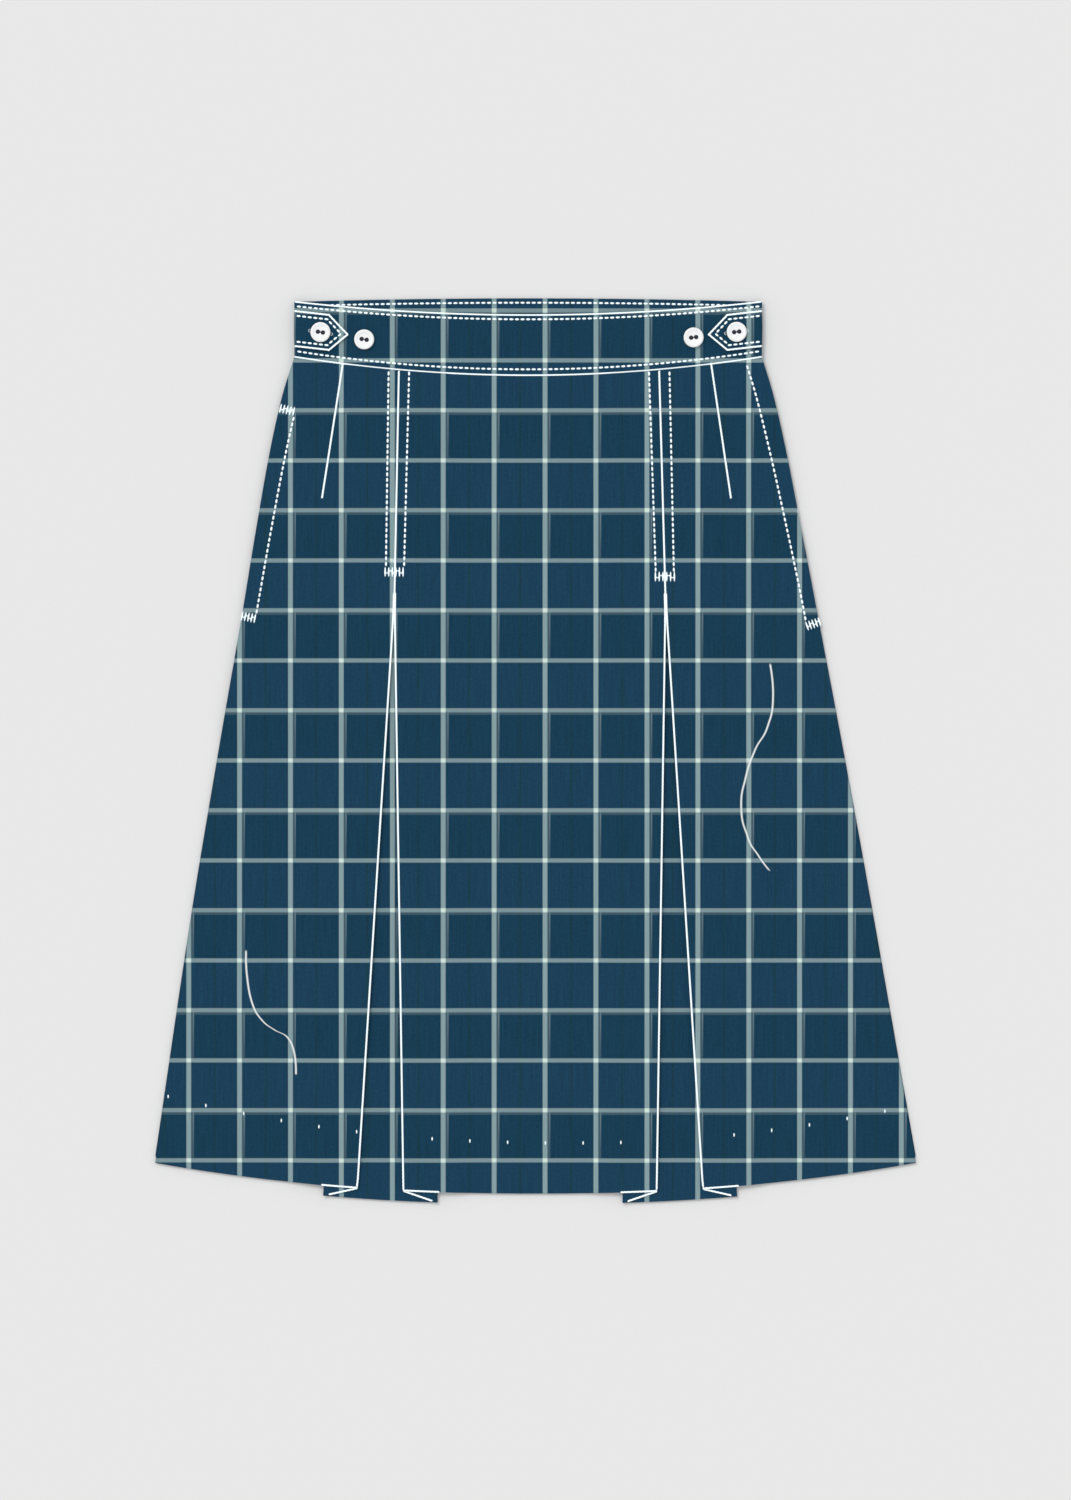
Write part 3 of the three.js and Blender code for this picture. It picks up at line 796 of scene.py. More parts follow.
# Rows of points down the front: one set to where the pleats open, and one from there on
def frontRows():
    top, bottom = frontPath(0), frontPath(1)
    seamY = frontSeamY(pleats[0]["waistX"])
    openShare = (seamY - pleat["openY"]) / (seamY - hemY(pleats[0]["hemRightX"]))
    above, below = frontGrid["closedRows"], frontGrid["openRows"]
    shares = [openShare * k / above for k in range(above)]
    shares += [lerp(openShare, 1, k / below) for k in range(below + 1)]
    rows = []
    for down in shares:
        row = []
        for j, (x, upper, lower, share, drop) in enumerate(frontPath(down)):
            topY = frontSeamY(top[j][0]) - skirt["seamGap"]
            y = lerp(topY, hemY(bottom[j][0]) - drop * pleat["underlayDrop"], down)
            row.append((x, y, lerp(layerZ(upper, x, y), layerZ(lower, x, y), share)))
        rows.append(row)
    return rows


rows = frontRows()
grid = {"columns": len(rows[0]) - 1, "rows": len(rows) - 1, "thickness": skirt["cloth"]}
front = clothSheet("frontPleated", grid, lambda column, row: rows[row][column], frontSuiting)
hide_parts("front_panel")
print("front made,", len(front.data.polygons), "faces")

backGrid = {"columns": 120, "rows": 140, "thickness": 0.75}


def backPoint(column, row):
    across, down = column / backGrid["columns"], row / backGrid["rows"]
    sideY = lerp(skirt["bandSideSeamY"], skirt["hemSideY"], down)
    x = lerp(rightSideX(sideY), leftSideX(sideY), across)
    topX = lerp(rightSideX(skirt["bandSideSeamY"]), leftSideX(skirt["bandSideSeamY"]), across)
    bottomX = lerp(rightSideX(skirt["hemSideY"]), leftSideX(skirt["hemSideY"]), across)
    y = lerp(backSeamY(topX) - skirt["seamGap"], hemY(bottomX) + skirt["backHemRise"], down)
    return x, y, zLevels["back"]


back = clothSheet("backPanel", backGrid, backPoint, suiting)
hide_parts("back_panel")
print("back made")

pocketGrid = {"columns": 24, "rows": 60, "z": 1.8, "thickness": 0.8, "inwardBow": 13, "bowEase": 1.6}


# The bag hangs from the side seam, and below the mouth it leaves the seam in a round end
def pocketPoint(column, row):
    p, g = pocket, pocketGrid
    deepY = p["bottomY"] - p["drop"]
    cornerY = deepY + p["corner"]
    y = lerp(p["topY"], deepY, row / g["rows"])
    right = rightSideX(max(y, cornerY)) + pocketWidth(y)
    if y < cornerY:
        low = (cornerY - y) / p["corner"]
        right -= p["corner"] * (1 - math.sqrt(max(0, 1 - low**2)))
    left = rightSideX(max(y, p["bottomY"])) + seamInset
    if y < p["bottomY"]:
        away = (p["bottomY"] - y) / p["drop"]
        left += g["inwardBow"] * (smooth(away * g["bowEase"]) + away**6)
    return lerp(left, right, column / g["columns"]), y, g["z"]


pocketBag = clothSheet("pocketBag", pocketGrid, pocketPoint, pocketing)
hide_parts("pocket_bag_right")

zipGrid = {"columns": 6, "rows": 50, "z": 1.7, "thickness": 0.6}


def zipPoint(column, row):
    y = lerp(zipTape["topY"], zipTape["bottomY"], row / zipGrid["rows"])
    inset = lerp(zipTape["width"], seamInset, column / zipGrid["columns"])
    return leftSideX(y) - inset, y, zipGrid["z"]


tapes = clothSheet("zipTapes", zipGrid, zipPoint, tapeCotton)
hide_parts("side_zip_left")
print("pocket bag and zip made")


# Round a strip's section: (share across from 0 to 1, extra across, height from -0.5 to 0.5)
def stripSection(flatSteps, rollSteps):
    shares = [(1 - math.cos(math.pi * k / flatSteps)) / 2 for k in range(flatSteps + 1)]
    section = [(share, 0, 0.5) for share in shares]
    for k in range(1, rollSteps):
        turn = math.pi * k / rollSteps
        section.append((1, math.sin(turn), math.cos(turn) / 2))
    section += [(1 - share, 0, -0.5) for share in shares]
    for k in range(1, rollSteps):
        turn = math.pi * k / rollSteps
        section.append((0, -math.sin(turn), -math.cos(turn) / 2))
    return section + section[:1]


strip = {"rollSteps": 6, "crown": 0.25, "dimple": 0.2, "dimpleHalfWidth": 1.5}


# A closed strip with rolled edges through stations, each with its place, the way that its
# face points and its two edges. Its face is crowned, and dimpled along its sewn rows.
def clothStrip(name, stations, shape, material):
    section = stripSection(shape["flatSteps"], strip["rollSteps"])
    roll = shape["roll"]
    bm = bmesh.new()
    bmesh.ops.create_grid(bm, x_segments=len(stations) - 1, y_segments=len(section) - 1, size=0.5)
    for vert in bm.verts:
        station = stations[round((vert.co.x + 0.5) * (len(stations) - 1))]
        share, extra, height = section[round((vert.co.y + 0.5) * (len(section) - 1))]
        low, high = station["low"] + roll, station["high"] - roll
        y = lerp(low, high, share) + extra * roll
        up = height * shape["wall"]
        if height > 0 and not extra:
            for edge, inset in shape["dimples"]:
                rowY = station["high"] - inset if edge == "high" else station["low"] + inset
                up -= strip["dimple"] * bump(y - rowY, strip["dimpleHalfWidth"])
            up += strip["crown"] * math.sin(math.pi * share)
        face = Vector((station["normal"][0], 0, station["normal"][1]))
        vert.co = (Vector((station["x"], y, station["z"])) + face * up) * mm
    writeClothMap(bm)
    bmesh.ops.remove_doubles(bm, verts=bm.verts[:], dist=0.001 * mm)
    bmesh.ops.holes_fill(bm, edges=[e for e in bm.edges if e.is_boundary], sides=0)
    bmesh.ops.recalc_face_normals(bm, faces=bm.faces[:])
    sharpenEdges(bm, 60)
    return makePiece(name, bm, material)


bandSewing = {"edge": 0.35, "topRow": 3.5, "seamRow": 4.6, "backTopRow": 3.4, "backSeamRow": 4.6}
band = {"endInset": 0.2, "steps": 180, "backZ": 1.125}
frontBand = {
    "wall": 2.55,
    "roll": 1.2,
    "flatSteps": 26,
    "dimples": [("high", bandSewing["topRow"]), ("low", bandSewing["seamRow"])],
}
backBand = {
    "wall": 1.5,
    "roll": 0.8,
    "flatSteps": 26,
    "dimples": [("high", bandSewing["backTopRow"]), ("low", bandSewing["backSeamRow"])],
}


# Stations across the front or back half of the waistband, each from its seam to its top
def bandStations(seamY, topY, z):
    reach = skirt["waistHalfWidth"] - band["endInset"]
    stations = []
    for k in range(band["steps"] + 1):
        x = skirt["waistCentreX"] + lerp(-reach, reach, k / band["steps"])
        stations.append({"x": x, "z": z, "normal": (0, 1), "low": seamY(x), "high": topY(x)})
    return stations


frontBandZ = zLevels["frontBand"] + (frontBand["wall"] + strip["crown"]) / 2
stations = bandStations(frontSeamY, frontBandTopY, frontBandZ)
bandFront = clothStrip("waistbandFront", stations, frontBand, suiting)
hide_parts("waistband_front")
stations = bandStations(backSeamY, backBandTopY, band["backZ"])
bandBack = clothStrip("waistbandBack", stations, backBand, suiting)
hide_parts("waistband_back")

tab = {
    "tip": 134.8,
    "shoulder": 149.1,
    "halfHeight": 13.5,
    "tipHalfHeight": 0.75,
    "tipY": 311.7,
    "sideY": 316.3,
    "thickness": 1.6,
    "wall": 1.4,
    "roll": 0.7,
    "innerBend": 0.7,
    "rootZ": 1.3,
    "clearance": 0.3,
    "pointSteps": 10,
    "bodySteps": 16,
    "flatSteps": 12,
    "dimples": [],
}


def tabCentreY(out):
    return lerp(tab["tipY"], tab["sideY"], (out - tab["tip"]) / (skirt["waistHalfWidth"] - tab["tip"]))


# A tab's stations run from its point to the side seam, where it bends down to its root
def tabStations(side):
    point, body = tab["pointSteps"], tab["bodySteps"]
    middleZ = zLevels["tab"] + tab["thickness"] / 2
    radius = tab["thickness"] / 2 + tab["innerBend"]
    outerX = skirt["waistHalfWidth"] - tab["thickness"] / 2
    flatEnd = outerX - radius
    outs = [lerp(tab["tip"], tab["shoulder"], k / point) for k in range(point + 1)]
    outs += [lerp(tab["shoulder"], flatEnd, k / body) for k in range(1, body + 1)]
    places = [(out, middleZ, 0) for out in outs]
    for angle in range(15, 91, 15):
        turn = math.radians(angle)
        places.append((flatEnd + radius * math.sin(turn), middleZ - radius * (1 - math.cos(turn)), turn))
    places.append((outerX, tab["rootZ"], math.pi / 2))
    stations = []
    for out, z, turn in places:
        wide = clamp01((out - tab["tip"]) / (tab["shoulder"] - tab["tip"]))
        half = lerp(tab["tipHalfHeight"], tab["halfHeight"], wide)
        middle = tabCentreY(out)
        stations.append(
            {
                "x": skirt["waistCentreX"] + side * out,
                "z": z,
                "normal": (side * math.sin(turn), math.cos(turn)),
                "low": middle - half,
                "high": middle + half,
            }
        )
    return stations


# each tab comes out of the side seam, so both bands' ends are notched for it
notch = {"past": 1, "height": 8}
for piece in (bandFront, bandBack):
    bm = bmesh.new()
    for side in (-1, 1):
        depth = tab["thickness"] + tab["clearance"] + notch["past"]
        tall = 2 * (tab["halfHeight"] + tab["clearance"])
        x = skirt["waistCentreX"] + side * (skirt["waistHalfWidth"] + notch["past"] - depth / 2)
        z = tab["rootZ"] - tab["clearance"] + notch["height"] / 2
        at = Matrix.Translation(Vector((x, tab["sideY"], z)) * mm)
        size = Matrix.Diagonal(Vector((depth, tall, notch["height"], 1000)) * mm)
        bmesh.ops.create_cube(bm, size=1, matrix=at @ size)
    cutAway(piece, bm)

for hand, side in (("right", -1), ("left", 1)):
    piece = clothStrip("waistTab" + hand.capitalize(), tabStations(side), tab, suiting)
    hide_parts("waist_tab_" + hand)
print("waistband and tabs made")


# Places along a line at an even pitch, each with the line's angle there
def pointsEvery(points, pitch):
    lengths = [0]
    for (ax, ay), (bx, by) in zip(points, points[1:]):
        lengths.append(lengths[-1] + math.hypot(bx - ax, by - ay))
    count = max(1, int(lengths[-1] / pitch))
    spare = (lengths[-1] - count * pitch) / 2
    places = []
    k = 0
    for n in range(count):
        at = spare + (n + 0.5) * pitch
        while k < len(lengths) - 2 and lengths[k + 1] < at:
            k += 1
        (ax, ay), (bx, by) = points[k], points[k + 1]
        t = (at - lengths[k]) / (lengths[k + 1] - lengths[k])
        places.append((lerp(ax, bx, t), lerp(ay, by, t), math.atan2(by - ay, bx - ax)))
    return places


# Where one stitch goes: a flattened bead of thread that dips into the cloth at both ends. Its
# size is its length, width and height.
def addStitch(stitches, x, y, z, angle, size):
    at = Matrix.Translation(Vector((x, y, z)) * mm)
    scale = Matrix.Diagonal(Vector((*size, 1000)) * mm)
    stitches.append(at @ Matrix.Rotation(angle, 4, "Z") @ scale)


# A few dozen beads at a time, because an operator goes through all that its bmesh holds
def makeBeads(name, stitches, material, around=8, along=6):
    whole = bmesh.new()
    run = bpy.data.meshes.new("run")
    for first in range(0, len(stitches), 30):
        bm = bmesh.new()
        for matrix in stitches[first : first + 30]:
            bmesh.ops.create_uvsphere(bm, u_segments=around, v_segments=along, radius=0.5, matrix=matrix)
        bm.to_mesh(run)
        bm.free()
        whole.from_mesh(run)
    bpy.data.meshes.remove(run)
    for face in whole.faces:
        face.smooth = True
    return makePiece(name, whole, material)


topstitch = {"pitch": 4.2, "size": (3.35, 1.6, 0.75), "lean": 0}
chain = {"pitch": 1.4, "size": (2.5, 1.5, 0.75), "lean": 0.22}


# Sews one kind of stitch along a line, leaning to and fro, at a height over the cloth there
def sew(stitches, points, stitch, heightAt, lift=0.1):
    for k, (x, y, angle) in enumerate(pointsEvery(points, stitch["pitch"])):
        lean = stitch["lean"] if k % 2 else -stitch["lean"]
        addStitch(stitches, x, y, heightAt(x, y) + lift, angle + lean, stitch["size"])


def panelTop(x, y):
    return panelZ(x, y) + skirt["cloth"] / 2


# How far a rolled edge has dropped, so near to it
def rolledDrop(fromEdge, roll, thickness):
    inside = clamp01((roll - max(fromEdge, 0)) / roll)
    return thickness / 2 * (1 - math.sqrt(1 - inside**2))


sunk = {"band": 0.1, "tab": 0.05}


def bandTop(x, y):
    low, high = frontSeamY(x), frontBandTopY(x)
    crown = strip["crown"] * math.sin(math.pi * clamp01((y - low) / (high - low)))
    drop = rolledDrop(min(y - low, high - y), frontBand["roll"], frontBand["wall"])
    return frontBandZ + frontBand["wall"] / 2 + crown - drop - sunk["band"]


# The tab's top follows its bend round the waist's end
def tabTop(x, y):
    out = abs(x - skirt["waistCentreX"])
    bend = tab["thickness"] + tab["innerBend"]
    past = max(0, out - (skirt["waistHalfWidth"] - bend))
    dropped = bend - math.sqrt(max(0, bend**2 - past**2))
    return zLevels["tab"] + tab["thickness"] - dropped - sunk["tab"]


# A line across the waist, an inset short of both ends
def waistLine(lineY, inset, steps=90):
    reach = skirt["waistHalfWidth"] - inset
    xs = [skirt["waistCentreX"] + lerp(-reach, reach, k / steps) for k in range(steps + 1)]
    return [(x, lineY(x)) for x in xs]


# waistband: edge lines and topstitching, under the tabs too
waistEnds = {"edge": 0.4, "row": 0.6, "backRow": 12, "floorRow": 3}
backRowZ = 1.95
stitches = []
inset = waistEnds["edge"]
sew(stitches, waistLine(lambda x: frontBandTopY(x) - bandSewing["edge"], inset), chain, bandTop)
sew(stitches, waistLine(lambda x: frontSeamY(x) + bandSewing["edge"], inset), chain, bandTop)
inset = waistEnds["row"]
sew(stitches, waistLine(lambda x: frontBandTopY(x) - bandSewing["topRow"], inset), topstitch, bandTop)
sew(stitches, waistLine(lambda x: frontSeamY(x) + bandSewing["seamRow"], inset), topstitch, bandTop)
line = waistLine(lambda x: backBandTopY(x) - bandSewing["backTopRow"], waistEnds["backRow"])
sew(stitches, line, topstitch, lambda x, y: backRowZ)
frontBandSewing = makeBeads("waistbandStitching", stitches, whiteThread)

# tabs: an edge line and a row of topstitching that follow the point
tabSewing = {"edge": 0.4, "row": 3.8, "rootInset": 0.3}
slope = tab["halfHeight"] / (tab["shoulder"] - tab["tip"])
slant = math.sqrt(1 + slope**2)
stitches = []
for side in (-1, 1):
    for inset, stitch in ((tabSewing["edge"], chain), (tabSewing["row"], topstitch)):
        tip = tab["tip"] + inset * slant / slope
        shoulder = tab["shoulder"] + inset * (slant - 1) / slope
        root = skirt["waistHalfWidth"] - tabSewing["rootInset"]
        half = tab["halfHeight"] - inset
        outline = [(root, half), (shoulder, half), (tip, 0), (shoulder, -half), (root, -half)]
        points = [(skirt["waistCentreX"] + side * out, tabCentreY(out) + up) for out, up in outline]
        sew(stitches, points, stitch, tabTop)
tabStitching = makeBeads("tabStitching", stitches, whiteThread)

# pleats, pocket and zip: rows of topstitching, two beside each pleat's line and one beside
# each side seam
pleatRows = {"endY": (137.3, 132.8), "insets": (7.7, 6.8), "fromSeam": 0.2}
sideRows = [
    {"seamX": rightSideX, "inward": 1, "insets": (12.7, 10.5), "ends": (251.5, 101.5), "eased": False},
    {"seamX": leftSideX, "inward": -1, "insets": (13.4, 9.7), "ends": (289.5, 97), "eased": True},
]
sideRowSteps = 30
stitches = []
for one, endY in zip(pleats, pleatRows["endY"]):
    ends = (frontSeamY(one["waistX"]) - pleatRows["fromSeam"], endY)
    for side in (-1, 1):
        points = [(pleatLineX(one, y) + side * away, y) for y, away in zip(ends, pleatRows["insets"])]
        sew(stitches, points, topstitch, panelTop)
for row in sideRows:
    line = []
    for k in range(sideRowSteps + 1):
        share = k / sideRowSteps
        y = lerp(*row["ends"], share)
        inset = lerp(*row["insets"], smooth(share) if row["eased"] else share)
        line.append((row["seamX"](y) + row["inward"] * inset, y))
    sew(stitches, line, topstitch, panelTop)
panelStitching = makeBeads("panelTopstitching", stitches, whiteThread)

# the closed zip's coil, hidden between the panels
coil = {"pitch": 1.6, "size": (2.6, 0.9, 0.55), "fromSide": 2.6, "fromEnds": 3, "z": 2.05}
coilLength = zipTape["topY"] - zipTape["bottomY"] - 2 * coil["fromEnds"]
stitches = []
for k in range(int(coilLength / coil["pitch"])):
    y = zipTape["topY"] - coil["fromEnds"] - k * coil["pitch"]
    addStitch(stitches, leftSideX(y) - coil["fromSide"], y, coil["z"], 0, coil["size"])
zipCoil = makeBeads("zipCoil", stitches, navyThread, 6, 4)
print("topstitching made")

# lines along the darts, the pleats' closed seams and their open folds
fold = {
    "edge": 0.35,
    "topY": 118,
    "overlap": 0.5,
    "fromSeam": 0.8,
    "bottomY": -332,
    "steps": 40,
    "lift": -0.1,
}
stitches = []
for dart in darts:
    sew(stitches, [dart["top"], dart["tip"]], chain, panelTop)
for one in pleats:
    ends = [frontSeamY(one["waistX"]) - fold["fromSeam"], fold["topY"] - fold["overlap"]]
    sew(stitches, [(pleatLineX(one, y), y) for y in ends], chain, panelTop)
    for side in (-1, 1):
        ys = [lerp(fold["topY"], fold["bottomY"], k / fold["steps"]) for k in range(fold["steps"] + 1)]
        lowest = hemY(pleatHemX(one, side)) + 1
        line = [(pleatEdgeX(one, side, y) + side * fold["edge"], max(y, lowest)) for y in ys]
        sew(stitches, line, chain, panelTop, fold["lift"])
edgeStitching = makeBeads("foldAndDartStitching", stitches, whiteThread)

# hem edges that show at the pleats: the panel's own and the turned-back fold's
pleatHem = {"panelReach": 27, "foldReach": 22, "steps": 8, "panelRise": 0.3, "panelLift": -0.05}
foldHem = {"startDrop": 0.2, "endRise": 1.2, "lift": 0.5}
stitches = []
for one in pleats:
    for side in (-1, 1):
        foldX = pleatHemX(one, side)
        cornerX = foldX + side * fold["edge"]
        innerX = foldX + side * pleatHem["panelReach"]
        line = []
        for k in range(pleatHem["steps"] + 1):
            share = k / pleatHem["steps"]
            y = hemY(lerp(foldX, innerX, share)) + pleatHem["panelRise"]
            line.append((lerp(cornerX, innerX, share), y))
        sew(stitches, line, chain, panelTop, pleatHem["panelLift"])
        endX = foldX + side * pleatHem["foldReach"]
        endY = hemY(endX) - pleat["underlayDrop"] + foldHem["endRise"]
        line = [(cornerX, hemY(foldX) - foldHem["startDrop"]), (endX, endY)]
        sew(stitches, line, chain, lambda x, y: zLevels["fold"], foldHem["lift"])
hemEdging = makeBeads("pleatHemStitching", stitches, whiteThread)

# bar tacks: close strokes of thread across the ends of the rows, tied in the middle
barTacks = [
    {"at": (-106.0, 133.9), "strokes": 6, "width": 13.4, "height": 7.8, "lean": 0},
    {"at": (97.0, 130.4), "strokes": 6, "width": 14.2, "height": 7.9, "lean": 0},
    {"at": (-186.3, 255.5), "strokes": 5, "width": 10.1, "height": 7.4, "lean": -0.23},
    {"at": (-215.3, 100.0), "strokes": 5, "width": 9.7, "height": 7.4, "lean": -0.2},
    {"at": (208.3, 95.0), "strokes": 5, "width": 9.8, "height": 7.4, "lean": 0.33},
]
stroke = {"width": 1.3, "height": 0.8, "lift": 0.15}
link = {"width": 0.9, "height": 0.7, "lift": 0.1, "spare": 0.4, "high": 0.1}
stitches = []
for tack in barTacks:
    gaps = tack["strokes"] - 1
    turn = tack["lean"]
    pitch = tack["width"] / gaps
    for k in range(tack["strokes"]):
        along = (k / gaps - 0.5) * tack["width"]
        x = tack["at"][0] + along * math.cos(turn)
        y = tack["at"][1] + along * math.sin(turn)
        z = panelTop(x, y) + stroke["lift"]
        size = (tack["height"], stroke["width"], stroke["height"])
        addStitch(stitches, x, y, z, turn + math.pi / 2, size)
        if k < gaps:
            high = (link["high"] if k % 2 else -link["high"]) * tack["height"]
            x += pitch / 2 * math.cos(turn) - high * math.sin(turn)
            y += pitch / 2 * math.sin(turn) + high * math.cos(turn)
            size = (pitch + link["spare"], link["width"], link["height"])
            addStitch(stitches, x, y, panelTop(x, y) + link["lift"], turn, size)
barTacking = makeBeads("barTacks", stitches, whiteThread)

# blind hem: one small pick on the right side every 28 mm, none where a pleat is open
blindHem = {
    "firstX": -275.6,
    "pitch": 28.3,
    "count": 20,
    "rise": 38.1,
    "sideRise": 9.4,
    "sideX": 275,
    "tilt": -0.0145,
    "size": (3.0, 1.1, 0.7),
    "lift": 0.05,
}
stitches = []
for k in range(blindHem["count"]):
    x = blindHem["firstX"] + k * blindHem["pitch"]
    y = hemY(x) + blindHem["rise"] + blindHem["tilt"] * x
    y += blindHem["sideRise"] * (abs(x) / blindHem["sideX"]) ** 2
    inPleat = any(pleatEdgeX(one, -1, y) - 1 < x < pleatEdgeX(one, 1, y) + 1 for one in pleats)
    if not inPleat:
        addStitch(stitches, x, y, panelTop(x, y) + blindHem["lift"], math.pi / 2, blindHem["size"])
hemPicks = makeBeads("blindHemStitches", stitches, whiteThread)

# the back's own sewing lies flush with the floor side
backSewing = {
    "z": 0.3,
    "height": 0.6,
    "pickSize": (2.6, 1.2, 0.6),
    "pickReach": 270,
    "seamLine": 0.95,
    "dartTop": 84,
    "dartTip": 92,
    "dartTipY": 168,
    "dartFromSeam": 1,
}
flatTopstitch, flatChain = [
    dict(stitch, size=(*stitch["size"][:2], backSewing["height"])) for stitch in (topstitch, chain)
]
stitches = []


def backFace(x, y):
    return backSewing["z"]


for stitch, lineY in (
    (flatTopstitch, lambda x: backBandTopY(x) - bandSewing["backTopRow"]),
    (flatTopstitch, lambda x: backSeamY(x) + bandSewing["backSeamRow"]),
    (flatChain, lambda x: backSeamY(x) + backSewing["seamLine"]),
):
    sew(stitches, waistLine(lineY, waistEnds["floorRow"]), stitch, backFace, 0)
for side in (-1, 1):
    dartX = skirt["waistCentreX"] + side * backSewing["dartTop"]
    tipX = skirt["waistCentreX"] + side * backSewing["dartTip"]
    line = [(dartX, backSeamY(dartX) - backSewing["dartFromSeam"]), (tipX, backSewing["dartTipY"])]
    sew(stitches, line, flatChain, backFace, 0)
for k in range(blindHem["count"]):
    x = blindHem["firstX"] + (k + 0.25) * blindHem["pitch"]
    y = hemY(x) + skirt["backHemRise"] + blindHem["rise"]
    if abs(x) < backSewing["pickReach"]:
        addStitch(stitches, x, y, backSewing["z"], math.pi / 2, backSewing["pickSize"])
backStitching = makeBeads("backStitching", stitches, whiteThread)
print("edge lines, bar tacks and hem stitches made")

button = {
    "holeRadius": 1.7,
    "holeOffset": 1.9,
    "holeSteps": 28,
    "cutterZ": 1.5,
    "cutterDepth": 8,
    "steps": 56,
    "profile": [
        (0, 0.1), (6.0, 0.1), (6.9, 0.45), (7.4, 1.1), (7.5, 1.7), (7.35, 2.3), (6.9, 2.7),
        (6.3, 2.8), (5.7, 2.7), (5.2, 2.4), (4.8, 2.15), (4.2, 2.05), (0, 2.0),
    ],
}


# The button's profile, from under its middle round the rim to its dished face, turned round
def turnedDisc(x, y, z):
    bm = bmesh.new()
    verts = [bm.verts.new(Vector((x + r, y, z + up)) * mm) for r, up in button["profile"]]
    edges = [bm.edges.new(pair) for pair in zip(verts, verts[1:])]
    bmesh.ops.spin(
        bm,
        geom=verts + edges,
        cent=Vector((x, y, z)) * mm,
        axis=(0, 0, 1),
        angle=2 * math.pi,
        steps=button["steps"],
        use_merge=True,
    )
    bmesh.ops.remove_doubles(bm, verts=bm.verts[:], dist=0.01 * mm)
    bmesh.ops.recalc_face_normals(bm, faces=bm.faces[:])
    return bm


# A place beside a button's middle, turned with the button
def onButton(place, right, up=0.0):
    cos, sin = math.cos(place["turn"]), math.sin(place["turn"])
    x = skirt["waistCentreX"] + place["out"]
    return x + right * cos - up * sin, place["y"] + right * sin + up * cos


# A dished disc with its two holes cut through
def makeButton(place):
    x, y = onButton(place, 0)
    piece = makePiece(place["name"], turnedDisc(x, y, place["z"]), resin)
    bm = bmesh.new()
    for side in (-1, 1):
        x, y = onButton(place, side * button["holeOffset"])
        bmesh.ops.create_cone(
            bm,
            cap_ends=True,
            segments=button["holeSteps"],
            radius1=button["holeRadius"] * mm,
            radius2=button["holeRadius"] * mm,
            depth=button["cutterDepth"] * mm,
            matrix=Matrix.Translation(Vector((x, y, place["z"] + button["cutterZ"])) * mm),
        )
    cutAway(piece, bm)
    bm = bmesh.new()
    bm.from_mesh(piece.data)
    sharpenEdges(bm, 35)
    bm.to_mesh(piece.data)
    bm.free()
    return piece


placeColumns = ("name", "node", "out", "y", "z", "turn")
placeRows = [
    ("tabButtonRight", "tab_button_right", -155.6, 313.4, 7.3, -0.16),
    ("bandButtonRight", "band_button_right", -122.9, 308.1, 5.4, -0.17),
    ("tabButtonLeft", "tab_button_left", 156.2, 313.6, 7.3, 0.12),
    ("bandButtonLeft", "band_button_left", 124.0, 309.6, 5.4, 0.12),
]
buttonPlaces = [dict(zip(placeColumns, row)) for row in placeRows]
# thread fills both holes, and two strands run from one to the other
filling = {"up": 0.8, "size": (3.32, 3.32, 2.9)}
strands = {"up": 2.0, "apart": 0.22, "size": (3.0, 0.42, 0.5)}
stitches = []
for place in buttonPlaces:
    piece = makeButton(place)
    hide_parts(place["node"])
    for side in (-1, 1):
        x, y = onButton(place, side * button["holeOffset"])
        addStitch(stitches, x, y, place["z"] + filling["up"], 0, filling["size"])
    for side in (-1, 1):
        x, y = onButton(place, 0, side * strands["apart"])
        addStitch(stitches, x, y, place["z"] + strands["up"], place["turn"], strands["size"])
buttonThread = makeBeads("buttonThread", stitches, navyThread)

# buttonholes: a worked slot behind each tab's button, whose two ends show beside it
worked = {"length": 18.2, "width": 2.0, "pitch": 0.9, "size": (1.1, 0.5, 0.5)}
stitches = []
for place in buttonPlaces:
    if "tab" not in place["name"]:
        continue
    half, radius = worked["length"] / 2 - worked["width"] / 2, worked["width"] / 2
    count = int(half / worked["pitch"])
    spots = []
    for k in range(-count, count + 1):
        spots += [(k * worked["pitch"], side * radius, math.pi / 2) for side in (-1, 1)]
    for side in (-1, 1):
        for angle in (-60, -30, 0, 30, 60):
            turn = math.radians(angle) + (0 if side > 0 else math.pi)
            spots.append((side * half + radius * math.cos(turn), radius * math.sin(turn), turn))
    for right, up, turn in spots:
        x, y = onButton(place, right, up)
        addStitch(stitches, x, y, tabTop(x, y), turn + place["turn"], worked["size"])
buttonholes = makeBeads("buttonholeStitching", stitches, whiteThread)
print("buttons made")


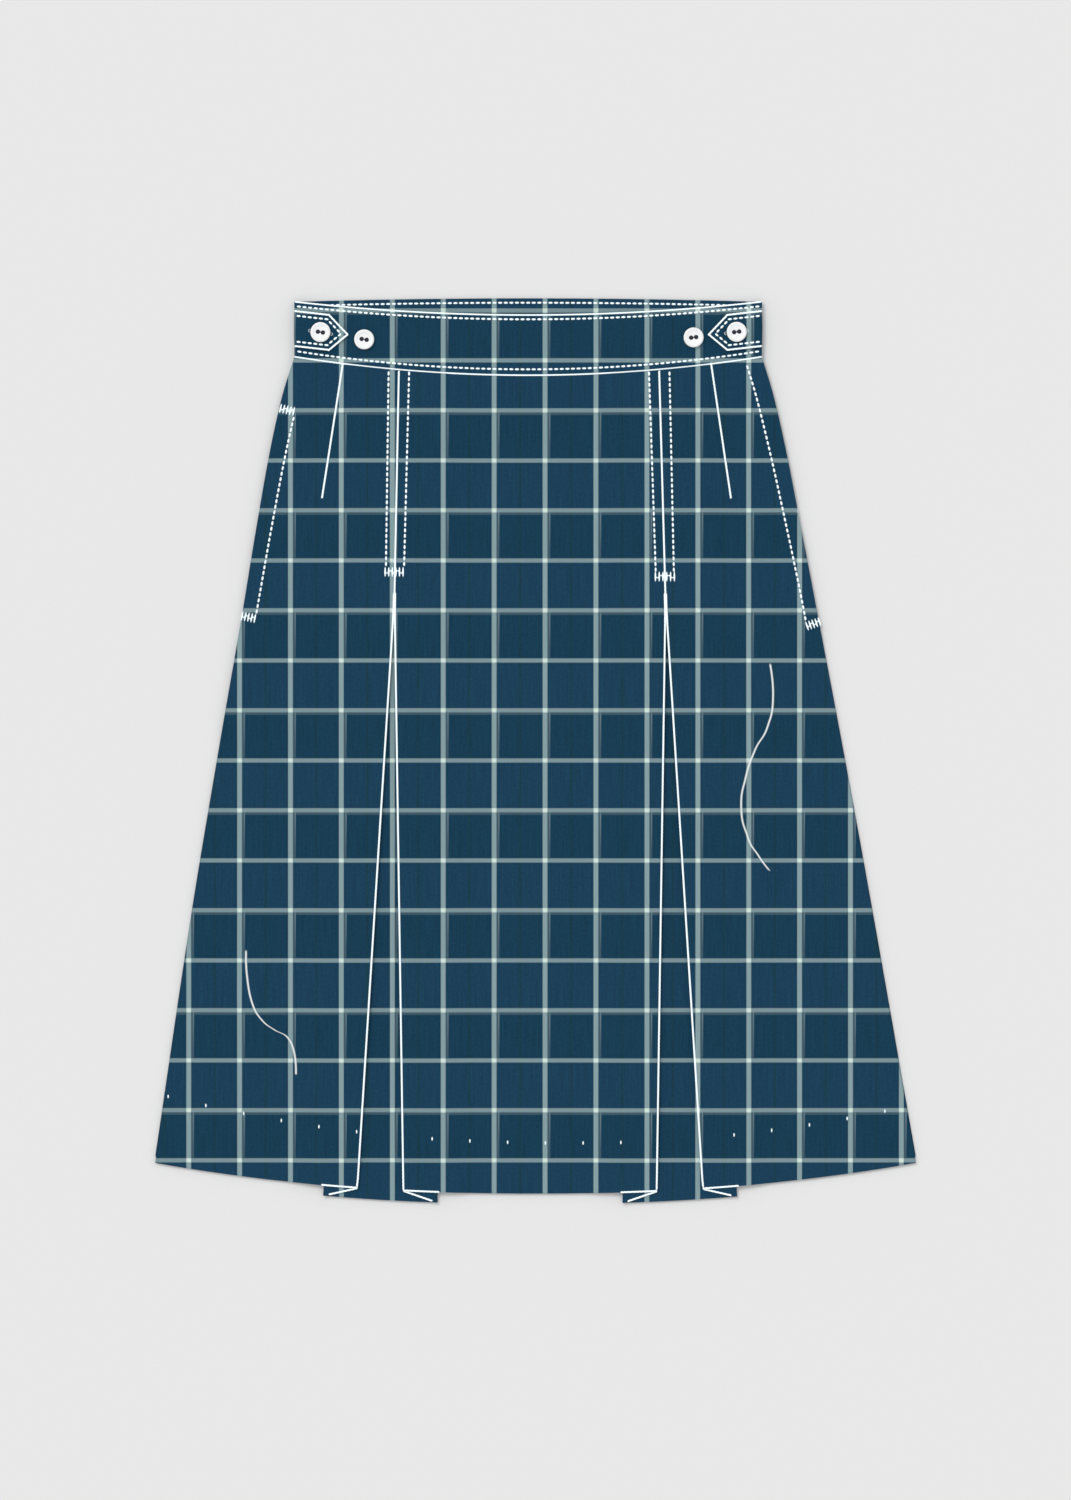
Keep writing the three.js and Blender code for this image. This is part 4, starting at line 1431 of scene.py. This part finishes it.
# Floor, light and camera
studio = {
    "paper": "#e9e9e9",
    "skyStrength": 0.74,
    "keyStrength": 1.02,
    "keyTilt": 38,
    "keyTurn": 38,
    "keySoftness": 22,
    "lens": 120,
    "frameHeight": 1125,
    "centreY": 0.4,
    "planeZ": 4,
    "floorSize": 6,
    "floorDrop": 0.05,
}

bm = bmesh.new()
bmesh.ops.create_grid(bm, x_segments=2, y_segments=2, size=studio["floorSize"])
bmesh.ops.translate(bm, verts=bm.verts[:], vec=(0, 0, -studio["floorDrop"] * mm))
floorMesh = bpy.data.meshes.new("floor")
bm.to_mesh(floorMesh)
bm.free()
floor = bpy.data.objects.new("floor", floorMesh)
bpy.context.scene.collection.objects.link(floor)
paper, tree = newMaterial("mattPaper")
shader = addNode(
    tree,
    "ShaderNodeBsdfPrincipled",
    {"Base Color": studio["paper"], "Roughness": 1, "Specular IOR Level": 0},
)
addNode(tree, "ShaderNodeOutputMaterial", {"Surface": shader})
floorMesh.materials.append(paper)
floor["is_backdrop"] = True

world = bpy.data.worlds.new("softbox")
bpy.context.scene.world = world
world.use_nodes = True
world.node_tree.nodes["Background"].inputs[0].default_value = (1, 1, 1, 1)
world.node_tree.nodes["Background"].inputs[1].default_value = studio["skyStrength"]

key = bpy.data.lights.new("key", "SUN")
key.energy = studio["keyStrength"]
key.angle = math.radians(studio["keySoftness"])
keyObject = bpy.data.objects.new("key", key)
tilt, turn = math.radians(studio["keyTilt"]), math.radians(studio["keyTurn"])
keyObject.rotation_euler = (-tilt, 0, turn)
bpy.context.scene.collection.objects.link(keyObject)

camera = bpy.data.cameras.new("camera")
camera.lens = studio["lens"]
cameraObject = bpy.data.objects.new("camera", camera)
distance = studio["frameHeight"] * camera.lens / camera.sensor_width
cameraObject.location = Vector((0, studio["centreY"], studio["planeZ"] + distance)) * mm
bpy.context.scene.collection.objects.link(cameraObject)
bpy.context.scene.camera = cameraObject
bpy.context.scene.view_settings.view_transform = "Standard"
print("studio made")

low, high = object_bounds()
